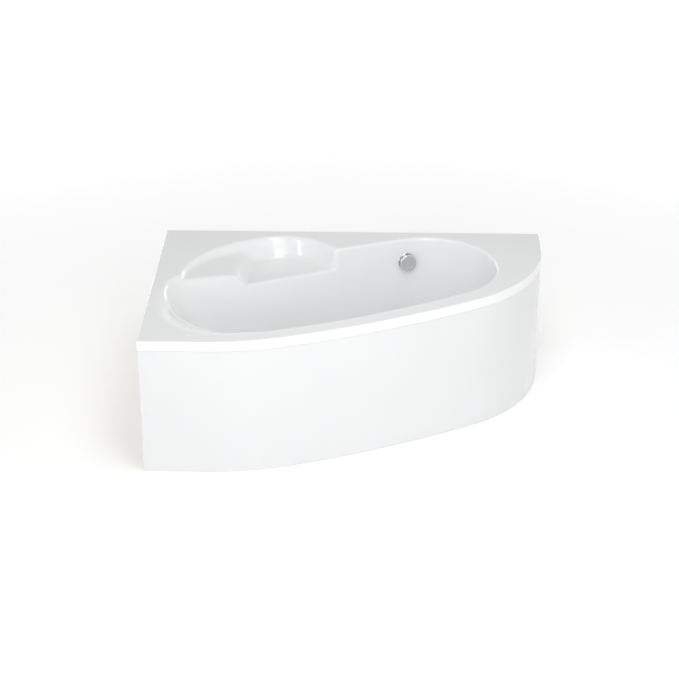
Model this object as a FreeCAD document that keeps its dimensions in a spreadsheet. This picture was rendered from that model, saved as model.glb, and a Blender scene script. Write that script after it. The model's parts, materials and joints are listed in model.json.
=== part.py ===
"""Left-hand corner bathtub of thermoformed acrylic with a curved front panel.

Millimetres, Z up. The origin is on the floor below the middle of the tub: the back
wall is at +Y, the left wall at -X, and the curved front looks towards -Y and +X.
"""
import FreeCAD, Part
import math
import os
import re
import Sketcher

Vector = FreeCAD.Vector
Rotation = FreeCAD.Rotation
Placement = FreeCAD.Placement

# ------------------------------------------------------------------ sizes

SIZES = {
    # tub
    "tub_length": 1500,             # along the back wall
    "tub_width": 1000,              # along the left wall
    "rim_height": 540,              # floor of the room to the top of the rim
    "basin_floor": 120,             # floor of the room to the inside of the basin
    "acrylic": 5,                   # wall of the tub
    "glassfibre": 3,                # laminate sprayed on the tub's underside
    "skirt_height": 38,             # turned down edge of the rim
    "rim_round": 4,                 # round on the rim's outer top edge
    "rolled_edge": 5,               # slope between the rim and the hollows
    "floor_round": 70,              # round between the basin's wall and floor
    "belly": 0.45,                  # share of the narrowing reached at half depth
    # plan of the curved front, from the left wall round to the back wall
    "front_straight": 242,
    "front_left_round": 890,
    "front_sweep": 3458,
    "front_right_round": 560,
    "right_straight": 142,
    # sweeps between the corner circles of each hollow
    "basin_left_sweep": 357,
    "basin_front_sweep": 3020,
    "basin_back_sweep": 9500,
    "recess_front_sweep": 1000,
    "recess_right_sweep": 2080,
    "recess_left_sweep": 457,
    "seat_front_sweep": 3000,
    "seat_back_sweep": 3200,
    "seat_left_sweep": 6000,
    # hollows
    "headrest_depth": 18,
    "headrest_slope": 45,           # the headrest's radius lost over its depth
    "recess_depth": 55,
    "recess_slope": 20,             # the recess's radii lost over its depth
    "ledge_start": 100,             # left wall to the shallow end of the ledge
    "ledge_length": 200,
    "ledge_shallow": 18,
    "ledge_deep": 36,
    "seat_depth": 80,
    # holes for the waste
    "drain_across": 52,             # drain to the left of the floor's right circle
    "drain_behind": 30,
    "drain_dish_radius": 45,
    "drain_dish_depth": 3,
    "drain_hole_radius": 26,
    "drain_pad_radius": 52,
    "overflow_depth": 94,           # rim to the overflow's centre
    "overflow_bearing": 106,        # degrees from +X about the basin's right circle
    "overflow_flat_radius": 42,
    "overflow_pad_radius": 48,
    "overflow_hole_radius": 27,
    # board under the floor and wood under the rim
    "board_thick": 16,
    "board_margin": 5,
    "board_hole_radius": 60,
    "batten_height": 20,
    "batten_width": 35,
    "batten_gap": 0.5,
    "front_batten_width": 31,
    "back_batten_end": 50,          # short of each end wall
    "batten_space": 7,              # between the left and the back batten
    "left_batten_front": 385,       # back wall to the batten's front end
    # leg rails
    "rail_side": 30,
    "rail_wall": 1.5,
    "left_rail_in": 510,            # left wall to the left rail
    "right_rail_in": 420,           # right end to the right rail
    "rail_front_gap": 40,           # panel to the rail's front end
    "left_rail_back": 250,          # back wall to the rail's back end
    "middle_rail_back": 170,
    "right_rail_back": 80,
    "front_foot_inset": 60,
    "back_foot_inset": 30,
    # adjustable feet
    "leg_radius": 6,
    "running_gap": 0.05,
    "leg_hole_radius": 6.5,
    "leg_stand_out": 4,             # rod above its rail
    "leg_chamfer": 1.5,
    "pad_radius": 25,
    "pad_height": 12,
    "pad_edge": 3,
    "socket_radius": 12,
    "socket_height": 22,
    "socket_floor": 6,
    "nut_flats": 19,
    "nut_height": 10,
    # screws
    "board_screw_radius": 2.5,
    "board_screw_bite": 12,
    "board_screw_spread": 45,
    "board_screw_head": 5,
    "head_height": 2.5,
    "small_screw_radius": 1.9,
    "small_screw_head": 4,
    "small_screw_bite": 16,
    "screw_gap": 0.05,
    # wall brackets
    "bracket_width": 60,
    "bracket_wall": 2.5,
    "bracket_shelf": 3,
    "bracket_lip": 6,
    "bracket_drop": 82,
    "bracket_hole_radius": 3.25,
    "bracket_hole_low": 62,         # below the shelf's top
    "bracket_hole_high": 22,
    "bracket_left_at": 350,         # left wall to the middle of the first back bracket
    "bracket_right_at": 300,        # right end to the middle of the second
    "bracket_side_at": 200,         # back wall to the middle of the left bracket
    # front panel
    "panel_setback": 2,             # behind the face of the skirt
    "panel_wall": 4,
    "panel_foot": 4,
    "panel_joint": 1.5,             # joint line below the skirt
    "panel_lip": 15,
    "panel_return": 20,
    "clip_width": 20,
    "clip_sheet": 2,
    "clip_gap": 0.5,
    "clip_foot": 24,
    "clip_hook": 13,
    "holder_foot": 18,
    "holder_gap": 24,
    "holder_grip": 42,
    "holder_screw_in": 34,
    "holder_screw_bite": 10,
    # waste in the floor of the basin
    "flange_radius": 35,
    "flange_height": 2.5,
    "throat_radius": 23,
    "throat_bore": 20,
    "throat_length": 22,
    "spider_drop": 13,
    "spider_height": 6,
    "spider_hub": 7,
    "spoke": 3,
    "gasket_thick": 3,
    "gasket_radius": 37,
    "waste_radius": 30,
    "waste_bore": 26,
    "waste_wall": 4,
    "waste_drop": 66,               # basin floor down to the body's underside
    "waste_neck": 13,
    "bead_radius": 33.5,
    "bead_height": 3,
    "pipe_radius": 15,
    "pipe_bore": 12.5,
    "port_drop": 44,
    "port_reach": 62,
    "tail_length": 37,
    "cap_radius": 30,
    "cap_edge": 2,
    "cap_crown_radius": 22,
    "cap_crown": 4.7,
    "cap_height": 5.5,
    "seal_radius": 27,
    "seal_bore": 20,
    "seal_thick": 2,
    "stem_radius": 4,
    "stem_gap": 0.3,
    # lever under the plug
    "lever_drop": 32,
    "lever_arm": 14,
    "lever_tip": 2.5,
    "lever_thick": 2.4,
    "lever_swing": 42,              # degrees over the knob's whole turn
    "shaft_radius": 3,
    "shaft_boss": 6,
    "shaft_end": 24.5,
    "shaft_end_gap": 0.5,
    "boss_reach": 38,               # outer end of the shaft's boss
    "end_boss_reach": 28,
    "crank_in": 40,
    "crank_out": 48,
    "crank_sheet": 3,
    "crank_length": 24,
    "crank_slot": 2.4,
    "slot_above": 3.5,
    "wire_drop": 20.5,
    "wire_radius": 0.75,
    "barrel_radius": 2.5,
    "barrel_length": 7,
    "barrel_gap": 0.6,
    "wire_reach": 51,
    "lug_start": 20,
    "lug_length": 8,
    "lug_half": 3.5,
    "lug_reach": 49,
    # trap
    "trap_seal_thick": 2,
    "collar_radius": 35,
    "collar_bore": 31,
    "collar_height": 11,
    "trap_radius": 40,
    "trap_wall": 4,
    "trap_height": 29,
    "trap_bottom": 3,
    "trap_nut_radius": 39,
    "trap_nut_height": 13.5,
    "trap_nut_lip": 2.5,
    "outlet_radius": 16,
    "outlet_bore": 13.5,
    "outlet_rise": 17.5,
    "outlet_stub": 60,
    "outlet_spigot": 50,
    "outlet_stop_radius": 17.5,
    "outlet_stop_width": 3,
    "outlet_wall_gap": 15,
    "outlet_nut_radius": 21,
    "outlet_nut_length": 22,
    # overflow, measured along its own axis from the inside of the basin's wall
    "overflow_gasket": 3,
    "can_radius": 30,
    "can_wall": 3,
    "can_depth": 36,
    "can_flange": 38,
    "can_flange_thick": 4,
    "spigot_length": 60,
    "bearing_radius": 8,
    "bearing_length": 8,
    "bearing_floor": 1,
    "rosette_radius": 37,
    "rosette_thick": 4,
    "rosette_bore": 24,
    "sleeve_length": 20,
    "hub_radius": 9,
    "hub_depth": 6,
    "rosette_spoke": 5,
    "spoke_root": 1,                # a spoke reaches this far into the hub and the ring
    "knob_radius": 34,
    "knob_start": 9,
    "knob_end": 25,
    "knob_front": 3,
    "knob_skirt": 4,
    "knob_hub": 7,
    "knob_bevel": 2,
    "spindle_radius": 4,
    "scallop_radius": 14,
    "scallop_depth": 2,
    "scallops": 8,
    "drum_radius": 10,
    "drum_width": 8,
    "drum_rim": 12,
    "drum_rim_thick": 1,
    "drum_axis": 30,                # depth of the cable's line behind the wall
    "cable_socket": 40,
    "cable_socket_radius": 4.5,
    "cable_socket_length": 14.5,
    "cable_bore_length": 19,
    "cable_seat": 6,
    # hose and cable
    "hose_nut_radius": 18.5,
    "hose_nut_length": 24,
    "hose_bend": 120,
    "conduit_radius": 2.5,
    "conduit_bore": 1.25,
    "conduit_start": 1,             # into the lug
    "cable_lead": 40,               # straight run in front of the overflow's socket
}

# Corner circles of the hollows: distance from the named end, distance from the named
# side, radius. Wide sweeps join the circles of one outline.
CIRCLES = {
    "basin_left": ("left", 154, "front", 470, 103),
    "basin_front": ("left", 406, "front", 314, 220),
    "basin_right": ("right", 455, "back", 327, 270),
    "floor_left": ("left", 460, "front", 440, 120),
    "floor_front": ("left", 520, "front", 340, 150),
    "floor_right": ("right", 470, "back", 330, 200),
    "headrest": ("left", 301, "front", 343, 266),
    "recess_left": ("left", 364, "back", 427, 262),
    "recess_right": ("left", 600, "back", 450, 244),
    "recess_back": ("left", 477, "back", 278, 220),
    "seat_top_front": ("left", 450, "back", 440, 192),
    "seat_top_right": ("left", 602, "back", 448, 246),
    "seat_top_back": ("left", 477, "back", 276, 221),
    "seat_top_left": ("left", 332, "back", 166, 55),
    "seat_foot_front": ("left", 432, "back", 400, 85),
    "seat_foot_right": ("left", 710, "back", 330, 85),
    "seat_foot_back": ("left", 500, "back", 236, 150),
    "seat_foot_left": ("left", 432, "back", 194, 85),
}
for circle_name, (end, across, side, along, radius) in CIRCLES.items():
    SIZES[circle_name + "_across"] = across
    SIZES[circle_name + "_along"] = along
    SIZES[circle_name + "_radius"] = radius

# The cable's route by hand, from the drain's lug up behind the tub to the overflow. Its
# two ends lie in their sockets. Between them each point is given from the right end, from
# the back wall, and above or below the named level.
CABLE_POINTS = [
    (566, 226, "basin_floor", -52.5), (571, 164, "basin_floor", -48), (579, 112, "basin_floor", -28),
    (592, 74, "basin_floor", 14), (603, 57, "rim_height", -346), (611, 53, "rim_height", -280),
    (619, 59, "rim_height", -212), (628, 71, "rim_height", -148),
]

# Heights and places that several pieces share
LEFT = "(-tub_length/2)"
RIGHT = "(tub_length/2)"
FRONT = "(-tub_width/2)"
BACK = "(tub_width/2)"
SKIN = "(acrylic + glassfibre)"
DECK_UNDER = "(rim_height - acrylic - glassfibre)"
SKIRT_FOOT = "(rim_height - skirt_height)"
BOARD_UNDER = "(basin_floor - acrylic - glassfibre - board_thick)"
RAIL_UNDER = "(basin_floor - acrylic - glassfibre - board_thick - rail_side)"
BATTEN_UNDER = "(rim_height - acrylic - glassfibre - batten_height)"
PANEL_TOP = "(rim_height - skirt_height - panel_joint)"
PANEL_INSIDE = "(panel_setback + panel_wall)"
DISH = "(basin_floor - drain_dish_depth)"
DISH_UNDER = "(basin_floor - drain_dish_depth - acrylic - glassfibre)"
WASTE_TOP = "(basin_floor - drain_dish_depth - acrylic - glassfibre - gasket_thick)"
WASTE_UNDER = "(basin_floor - waste_drop)"
FLANGE_TOP = "(basin_floor - drain_dish_depth + flange_height)"
CAP_UNDER = "(basin_floor - drain_dish_depth + flange_height + seal_thick)"
LEVER_HEIGHT = "(basin_floor - lever_drop)"
WIRE_HEIGHT = "(basin_floor - lever_drop - wire_drop)"
COLLAR_TOP = "(basin_floor - waste_drop - trap_seal_thick)"
TRAP_TOP = "(basin_floor - waste_drop - trap_seal_thick - collar_height)"
TRAP_UNDER = "(basin_floor - waste_drop - trap_seal_thick - collar_height - trap_height)"
OUTLET_HEIGHT = TRAP_UNDER + " + outlet_rise"
WIRE_X = "(-crank_in / 2 - crank_out / 2)"
STEM_FOOT = LEVER_HEIGHT + " - lever_arm * sin(lever_swing / 2) + lever_tip + stem_gap"
DRAIN_X = "(tub_length/2 - floor_right_across - drain_across)"
DRAIN_Y = "(tub_width/2 - floor_right_along + drain_behind)"
CAN_FACE = "(acrylic + glassfibre + overflow_gasket)"
CAN_BACK = "(acrylic + glassfibre + overflow_gasket + can_depth)"

SPOKES = 3
LONG = 400                          # a cutter that goes right through

doc = FreeCAD.newDocument("corner_bathtub")
sheet = doc.addObject("Spreadsheet::Sheet", "Sizes")
for row, (alias, number) in enumerate(SIZES.items(), 1):
    sheet.set("A%d" % row, alias)
    sheet.set("B%d" % row, str(number))
    sheet.setAlias("B%d" % row, alias)
doc.recompute()

sub_parts = []


def amount(formula):
    """Number that a formula of the sheet's aliases stands for."""
    return float(sheet.evalExpression(formula))


def named(formula):
    """The same formula, as another object of the document writes it."""
    return re.sub(r"[a-z_]{3,}", lambda word: alias_of(word.group()), formula)


def alias_of(word):
    return "Sizes." + word if word in SIZES else word


def keep(item, name):
    """Name a finished sub-part, whose solid is written to a file of that name."""
    item.Label = name
    sub_parts.append(item)


# ------------------------------------------------------------------ makers of objects

UPRIGHT = Rotation()
ALONG_X = Rotation(Vector(0, 1, 0), 90)
ALONG_Y = Rotation(Vector(1, 0, 0), -90)


def seat_at(item, corner, turn=UPRIGHT):
    item.Placement = Placement(Vector(), turn)
    for axis, formula in zip("xyz", corner):
        item.setExpression("Placement.Base." + axis, named(formula))
    return item


def box(name, sides, corner):
    item = doc.addObject("Part::Box", name)
    for side, formula in zip(("Length", "Width", "Height"), sides):
        item.setExpression(side, named(formula))
    return seat_at(item, corner)


def cylinder(name, radius, length, start, turn=UPRIGHT):
    item = doc.addObject("Part::Cylinder", name)
    item.setExpression("Radius", named(radius))
    item.setExpression("Height", named(length))
    return seat_at(item, start, turn)


def hexagon(name, flats, height, start):
    item = doc.addObject("Part::Prism", name)
    item.Polygon = 6
    item.setExpression("Circumradius", named(flats + " / 2 / cos(30)"))
    item.setExpression("Height", named(height))
    return seat_at(item, start)


def fused(name, items):
    item = doc.addObject("Part::MultiFuse", name)
    item.Shapes = items
    return item


def less(name, base, cutters):
    item = doc.addObject("Part::Cut", name)
    item.Base = base
    item.Tool = cutters[0] if len(cutters) == 1 else fused(name + "_cutters", cutters)
    return item


def grouped(name, items):
    item = doc.addObject("Part::Compound", name)
    item.Links = items
    return item


def shaped(name, shape):
    """Sub-part whose surfaces only Part's own functions make."""
    item = doc.addObject("Part::Feature", name)
    item.Shape = shape
    keep(item, name)


def plane_of(body, role):
    return next(item for item in body.Origin.OriginFeatures if item.Role == role)


def sketch_on(body, name, role):
    sketch = body.newObject("Sketcher::SketchObject", name)
    sketch.AttachmentSupport = [(plane_of(body, role), "")]
    sketch.MapMode = "FlatFace"
    return sketch


def bind_point(sketch, edge, point, place):
    """Tie a point of the sketch to two formulas, measured from its origin."""
    for kind, formula in zip(("DistanceX", "DistanceY"), place):
        rule = Sketcher.Constraint(kind, -1, 1, edge, point, amount(formula))
        sketch.setExpression("Constraints[%d]" % sketch.addConstraint(rule), named(formula))


def add_outline(sketch, corners):
    """Closed outline of straight edges, every corner tied to the sheet."""
    points = [Vector(amount(x), amount(y), 0) for x, y in corners]
    first = sketch.GeometryCount
    for start, end in zip(points, points[1:] + points[:1]):
        sketch.addGeometry(Part.LineSegment(start, end))
    for index, corner in enumerate(corners):
        following = first + (index + 1) % len(corners)
        sketch.addConstraint(Sketcher.Constraint("Coincident", first + index, 2, following, 1))
        bind_point(sketch, first + index, 1, corner)


def add_hole(sketch, centre, radius):
    middle = Vector(amount(centre[0]), amount(centre[1]), 0)
    edge = sketch.addGeometry(Part.Circle(middle, Vector(0, 0, 1), amount(radius)))
    bind_point(sketch, edge, 3, centre)
    rule = sketch.addConstraint(Sketcher.Constraint("Radius", edge, amount(radius)))
    sketch.setExpression("Constraints[%d]" % rule, named(radius))


def turned(name, corners):
    """Body turned about Z from an outline of (radius, height)."""
    body = doc.addObject("PartDesign::Body", name)
    sketch = sketch_on(body, name + "_half", "XZ_Plane")
    add_outline(sketch, corners)
    turning = body.newObject("PartDesign::Revolution", name + "_turning")
    turning.Profile = sketch
    turning.ReferenceAxis = (sketch, ["V_Axis"])
    turning.Angle = 360
    return body


def padded(name, role, outlines, length):
    """Body raised both ways from a plane, half of the length each way."""
    body = doc.addObject("PartDesign::Body", name)
    sketch = sketch_on(body, name + "_section", role)
    for corners in outlines:
        add_outline(sketch, corners)
    pad = body.newObject("PartDesign::Pad", name + "_pad")
    pad.Profile = sketch
    pad.Midplane = True
    pad.setExpression("Length", named(length))
    return body


def drilled(body, role, centres, radius):
    """Holes right through a body, square to one of its planes."""
    sketch = sketch_on(body, "%s_holes_%d" % (body.Name, len(body.Group)), role)
    for centre in centres:
        add_hole(sketch, centre, radius)
    pocket = body.newObject("PartDesign::Pocket", sketch.Name + "_cut")
    pocket.Profile = sketch
    pocket.Midplane = True
    pocket.Length = LONG
    return body


# ------------------------------------------------------------------ rounded outlines

def circle(name):
    """Centre and radius of a named corner circle."""
    end, _, side, _, _ = CIRCLES[name]
    across, along = amount(name + "_across"), amount(name + "_along")
    x = amount(LEFT) + across if end == "left" else amount(RIGHT) - across
    y = amount(FRONT) + along if side == "front" else amount(BACK) - along
    return x, y, amount(name + "_radius")


def polar(centre, radius, angle):
    return centre + Vector(radius * math.cos(angle), radius * math.sin(angle), 0)


def bearing(start, end):
    return math.atan2(end.y - start.y, end.x - start.x)


def arc(centre, radius, start, end):
    """Arc turning left from one angle to another."""
    if end < start:
        end += 2 * math.pi
    points = [polar(centre, radius, angle) for angle in (start, (start + end) / 2, end)]
    return Part.Arc(*points).toShape()


def sweep_centre(first, second, from_first, from_second):
    """Point at given distances from two centres, on the left of the way between them."""
    way = second - first
    along = (from_first ** 2 - from_second ** 2 + way.Length ** 2) / (2 * way.Length)
    out = math.sqrt(from_first ** 2 - along ** 2)
    step = way * (1 / way.Length)
    return first + step * along + Vector(-step.y, step.x, 0) * out


def rounded(corners, sweeps, grow, height):
    """Closed outline round the corner circles, anticlockwise, joined by wide sweeps."""
    centres = [Vector(x, y, height) for x, y, _ in corners]
    radii = [r + grow for _, _, r in corners]
    wide = [r + grow for r in sweeps]
    after = [(i + 1) % len(corners) for i in range(len(corners))]
    middles = [sweep_centre(centres[i], centres[j], wide[i] - radii[i], wide[i] - radii[j])
               for i, j in enumerate(after)]
    edges = []
    for i, j in enumerate(after):
        leaves = bearing(middles[i], centres[i])
        edges.append(arc(centres[i], radii[i], bearing(middles[i - 1], centres[i]), leaves))
        edges.append(arc(middles[i], wide[i], leaves, bearing(middles[i], centres[j])))
    return Part.Wire(edges)


def between(first, second, share):
    """Corner circles part of the way from one set to another."""
    return [tuple(a + (b - a) * share for a, b in zip(one, two)) for one, two in zip(first, second)]


def front_line(grow, height):
    """The curved front, from the left wall round to the back wall, moved out by grow."""
    left, right = amount(LEFT) - grow, amount(RIGHT) + grow
    front, back = amount(FRONT) - grow, amount(BACK) + grow
    first_radius = amount("front_left_round") + grow
    last_radius = amount("front_right_round") + grow
    wide = amount("front_sweep") + grow
    first = Vector(amount(LEFT) + amount("front_straight"), front + first_radius, height)
    last = Vector(right - last_radius, amount(BACK) - amount("right_straight"), height)
    middle = sweep_centre(first, last, wide - first_radius, wide - last_radius)
    turn, turn_back = bearing(middle, first), bearing(middle, last)
    return [
        Part.LineSegment(Vector(left, front, height), Vector(first.x, front, height)).toShape(),
        arc(first, first_radius, -math.pi / 2, turn),
        arc(middle, wide, turn, turn_back),
        arc(last, last_radius, turn_back, 0),
        Part.LineSegment(Vector(right, last.y, height), Vector(right, back, height)).toShape(),
    ]


def rim_prism(grow, foot, top):
    """Upright prism on the whole outline of the rim."""
    left, right = amount(LEFT) - grow, amount(RIGHT) + grow
    front, back = amount(FRONT) - grow, amount(BACK) + grow
    walls = Part.makePolygon([Vector(right, back, foot), Vector(left, back, foot),
                              Vector(left, front, foot)])
    outline = Part.Wire(front_line(grow, foot) + walls.Edges)
    return Part.Face(outline).extrude(Vector(0, 0, top - foot))


def front_band(outer, inner, foot, top):
    """Upright band along the front, between two distances behind the rim's face."""
    face_line, inside_line = front_line(-outer, foot), front_line(-inner, foot)
    ends = []
    for one, two in ((face_line[0], inside_line[0]), (face_line[-1], inside_line[-1])):
        index = 0 if one is face_line[0] else -1
        ends.append(Part.makeLine(one.Vertexes[index].Point, two.Vertexes[index].Point))
    outline = Part.Wire(Part.__sortEdges__(face_line + inside_line + ends))
    return Part.Face(outline).extrude(Vector(0, 0, top - foot))


def on_front(share):
    """Place on the rim's front line: its X axis runs along the rim and Y points inwards."""
    line = front_line(0, 0)
    left = share * sum(edge.Length for edge in line)
    for edge in line:
        if left <= edge.Length:
            break
        left -= edge.Length
    step = edge.getParameterByLength(left)
    way = edge.tangentAt(step)
    turn = Rotation(Vector(0, 0, 1), math.degrees(math.atan2(way.y, way.x)))
    return Placement(edge.valueAt(step), turn)


def panel_inside_at(x):
    """Y of the panel's inner face where it passes a given X."""
    probe = Part.makeLine(Vector(x, 0, 0), Vector(x, 2 * amount(FRONT), 0))
    face = Part.Wire(front_line(-amount(PANEL_INSIDE), 0))
    return face.distToShape(probe)[1][0][0].y


# ------------------------------------------------------------------ the tub

BASIN = ("basin_left", "basin_front", "basin_right")
BASIN_FLOOR = ("floor_left", "floor_front", "floor_right")
BASIN_SWEEPS = ("basin_left_sweep", "basin_front_sweep", "basin_back_sweep")
RECESS = ("recess_left", "recess_right", "recess_back")
RECESS_SWEEPS = ("recess_front_sweep", "recess_right_sweep", "recess_left_sweep")
SEAT_TOP = ("seat_top_front", "seat_top_right", "seat_top_back", "seat_top_left")
SEAT_FOOT = ("seat_foot_front", "seat_foot_right", "seat_foot_back", "seat_foot_left")
SEAT_SWEEPS = ("seat_front_sweep", "recess_right_sweep", "seat_back_sweep", "seat_left_sweep")

OVER = 5                            # a cutter reaches this far above the rim
PROBE = 10                          # the wall's lean is read this far above and below a point


def circles(names):
    return [circle(name) for name in names]


def sweeps(names):
    return [amount(name) for name in names]


def basin_section(depth_share, narrowing, grow):
    corners = between(circles(BASIN), circles(BASIN_FLOOR), narrowing)
    depth = amount("rim_height - basin_floor") * depth_share
    return rounded(corners, sweeps(BASIN_SWEEPS), grow, amount("rim_height") - depth - grow * depth_share)


def basin_form(grow):
    """The bathing hollow, its wall moved out by grow: a soft loft with a rounded foot."""
    sections = [basin_section(0, 0, grow), basin_section(0.5, amount("belly"), grow),
                basin_section(1, 1, grow)]
    form = Part.makeLoft(sections, True, False)
    edges = [edge for edge in form.Edges
             if all(abs(vertex.Z - amount("basin_floor") + grow) < 0.001 for vertex in edge.Vertexes)]
    return form.makeFillet(amount("floor_round") + grow, edges)


def tapered(top, foot, wide, grow, depth, over):
    """Straight-sided hollow from the rim down, reaching over the rim where it cuts."""
    rim = amount("rim_height")
    above = between(top, foot, -over / depth)
    return Part.makeLoft([rounded(above, wide, grow, rim + over), rounded(foot, wide, grow, rim - depth)],
                         True, True)


def headrest_form(grow, over):
    """Shallow cone at the head end, round the basin's edge."""
    x, y, radius = circle("headrest")
    depth, slope = amount("headrest_depth"), amount("headrest_slope")
    foot = Vector(x, y, amount("rim_height") - depth - grow)
    wide = radius + grow + slope * over / depth
    return Part.makeCone(radius - slope + grow, wide, depth + over, foot).fuse(
        Part.makeCylinder(wide, grow + over, Vector(x, y, amount("rim_height") - grow)))


def recess_form(grow, over):
    """Recess in the back left corner, whose floor slopes down to the right as a ledge."""
    narrow = [(x, y, r - amount("recess_slope")) for x, y, r in circles(RECESS)]
    form = tapered(circles(RECESS), narrow, sweeps(RECESS_SWEEPS), grow, amount("recess_depth"), over)
    fall = math.atan2(amount("ledge_deep - ledge_shallow"), amount("ledge_length"))
    length, width = amount("tub_length"), amount("tub_width")
    below = Part.makeBox(2 * length, 2 * width, width, Vector(-length, -width, -width))
    start = Vector(amount(LEFT) + amount("ledge_start"), 0,
                   amount("rim_height - ledge_shallow") - grow)
    below.Placement = Placement(start, Rotation(Vector(0, 1, 0), math.degrees(fall)))
    return form.cut(below)


def seat_form(grow, over):
    """Seat beside the ledge, open to the basin."""
    depth = amount("seat_depth") + grow
    return tapered(circles(SEAT_TOP), circles(SEAT_FOOT), sweeps(SEAT_SWEEPS), grow, depth, over)


def rolled(corners, wide):
    """Sloping edge all round one hollow, where it meets the rim."""
    edge, rim = amount("rolled_edge"), amount("rim_height")
    return Part.makeLoft([rounded(corners, wide, edge, rim), rounded(corners, wide, 0, rim - edge)],
                         True, True)


def hollow():
    """Everything that is scooped out of the tub."""
    forms = [
        headrest_form(0, OVER), recess_form(0, OVER), seat_form(0, OVER),
        rolled(circles(BASIN), sweeps(BASIN_SWEEPS)),
        rolled(circles(RECESS), sweeps(RECESS_SWEEPS)),
        rolled(circles(SEAT_TOP), sweeps(SEAT_SWEEPS)),
    ]
    return basin_form(0).fuse(forms).removeSplitter()


def bulk(grow):
    """Outside of the tub below the rim, its wall grown by a thickness."""
    forms = [headrest_form(grow, 0), recess_form(grow, 0), seat_form(grow, 0)]
    return basin_form(grow).fuse(forms).removeSplitter()


def drain_centre(height):
    return Vector(amount(DRAIN_X), amount(DRAIN_Y), height)


def overflow_place():
    """Place of the overflow on the basin's wall: Z points into the basin, Y leans up."""
    form = basin_form(0)
    x, y, _ = circle("basin_right")
    floor_x, floor_y, _ = circle("floor_right")
    share = amount("overflow_depth") / amount("rim_height - basin_floor")
    angle = math.radians(amount("overflow_bearing"))
    points = []
    for height in (-PROBE, 0, PROBE):
        level = amount("rim_height - overflow_depth") + height
        centre = Vector(x + (floor_x - x) * share, y + (floor_y - y) * share, level)
        ray = Part.makeLine(centre, polar(centre, amount("tub_width"), angle)).common(form)
        points.append(max((vertex.Point for vertex in ray.Vertexes), key=lambda p: (p - centre).Length))
    rise = points[2] - points[0]
    across = Vector(math.sin(angle), -math.cos(angle), 0)
    return Placement(points[1], Rotation(across, rise, across.cross(rise), "ZXY"))


OVERFLOW = overflow_place()


def at_overflow(shape):
    shape.Placement = OVERFLOW
    return shape


def pads(inside, outside):
    """Flat pads behind the drain and the overflow, down to a depth of the tub's skin."""
    dish = drain_centre(amount(DISH) - outside)
    return [
        Part.makeCylinder(amount("drain_pad_radius") + inside, outside, dish),
        at_overflow(Part.makeCylinder(amount("overflow_pad_radius") + inside, outside,
                                      Vector(0, 0, -outside))),
    ]


def hole_cutters():
    """Dish and hole of the drain, flat and hole of the overflow."""
    flat = amount("overflow_flat_radius")
    return [
        Part.makeCylinder(amount("drain_dish_radius"), OVER + amount("drain_dish_depth"),
                          drain_centre(amount(DISH))),
        Part.makeCylinder(amount("drain_hole_radius"), LONG, drain_centre(amount(DISH) - LONG / 2)),
        at_overflow(Part.makeCylinder(flat, flat, Vector(0, 0, 0))),
        at_overflow(Part.makeCylinder(amount("overflow_hole_radius"), 2 * flat, Vector(0, 0, -flat))),
    ]


def tub_shell():
    """Acrylic tub: rim, turned down skirt, headrest, ledge, seat and basin in one skin."""
    rim, foot, wall = amount("rim_height"), amount(SKIRT_FOOT), amount("acrylic")
    block = rim_prism(0, foot, rim)
    top_edges = [edge for edge in block.Edges if all(abs(v.Z - rim) < 0.001 for v in edge.Vertexes)]
    block = block.makeFillet(amount("rim_round"), top_edges)
    block = block.cut(rim_prism(-wall, foot, rim - wall))
    skin = block.fuse([bulk(wall)] + pads(0, wall)).removeSplitter()
    return skin.cut([hollow()] + hole_cutters())


def glassfibre_backing():
    """Laminate that stiffens the tub from below, on the acrylic's whole underside."""
    rim, foot = amount("rim_height"), amount(SKIRT_FOOT)
    wall, skin = amount("acrylic"), amount(SKIN)
    block = rim_prism(-wall, foot, rim - wall).cut(rim_prism(-skin, foot, rim - skin))
    layer = block.fuse([bulk(skin)] + pads(wall, skin))
    acrylic_solid = rim_prism(0, rim - wall, rim + wall).fuse([bulk(wall)] + pads(0, wall))
    behind = at_overflow(Part.makeCylinder(amount("overflow_pad_radius"), skin, Vector(0, 0, -2 * skin)))
    return layer.cut([acrylic_solid, behind] + hole_cutters())


# ------------------------------------------------------------------ board, battens, rails

def bottom_board():
    """Chipboard bonded under the flat of the basin's floor, with a hole for the waste."""
    inset = amount("floor_round + board_margin")
    outline = rounded(circles(BASIN_FLOOR), sweeps(BASIN_SWEEPS), -inset, amount(BOARD_UNDER))
    board = Part.Face(outline).extrude(Vector(0, 0, amount("board_thick")))
    cutters = [Part.makeCylinder(amount("board_hole_radius"), LONG, drain_centre(0))]
    for x, y, _ in board_screw_places():
        radius, bite = amount("board_screw_radius + screw_gap"), amount("board_screw_bite")
        cutters.append(Part.makeCylinder(radius, bite, Vector(x, y, amount(BOARD_UNDER))))
    shaped("bottom_board", board.cut(cutters))


def rim_battens():
    """Planed wood strips bonded under the rim: along both walls and round the front."""
    depth = "(acrylic + glassfibre + batten_gap)"
    keep(box("rim_batten_back",
             ("tub_length - 2 * back_batten_end", "batten_width", "batten_height"),
             (LEFT + " + back_batten_end", BACK + " - %s - batten_width" % depth, BATTEN_UNDER)),
         "rim_batten_back")
    keep(box("rim_batten_left",
             ("batten_width", "left_batten_front - %s - batten_width - batten_space" % depth,
              "batten_height"),
             (LEFT + " + " + depth, BACK + " - left_batten_front", BATTEN_UNDER)),
         "rim_batten_left")
    near, foot = amount(depth), amount(BATTEN_UNDER)
    band = front_band(near, near + amount("front_batten_width"), foot, amount(DECK_UNDER))
    cutters = []
    for place in map(on_front, CLIP_SHARES):
        cutter = Part.makeCylinder(amount("small_screw_radius + screw_gap"), amount("small_screw_bite"),
                                   Vector(0, amount(CLIP_SCREW_AT), foot))
        cutter.Placement = place
        cutters.append(cutter)
    shaped("rim_batten_front", band.cut(cutters))


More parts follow.
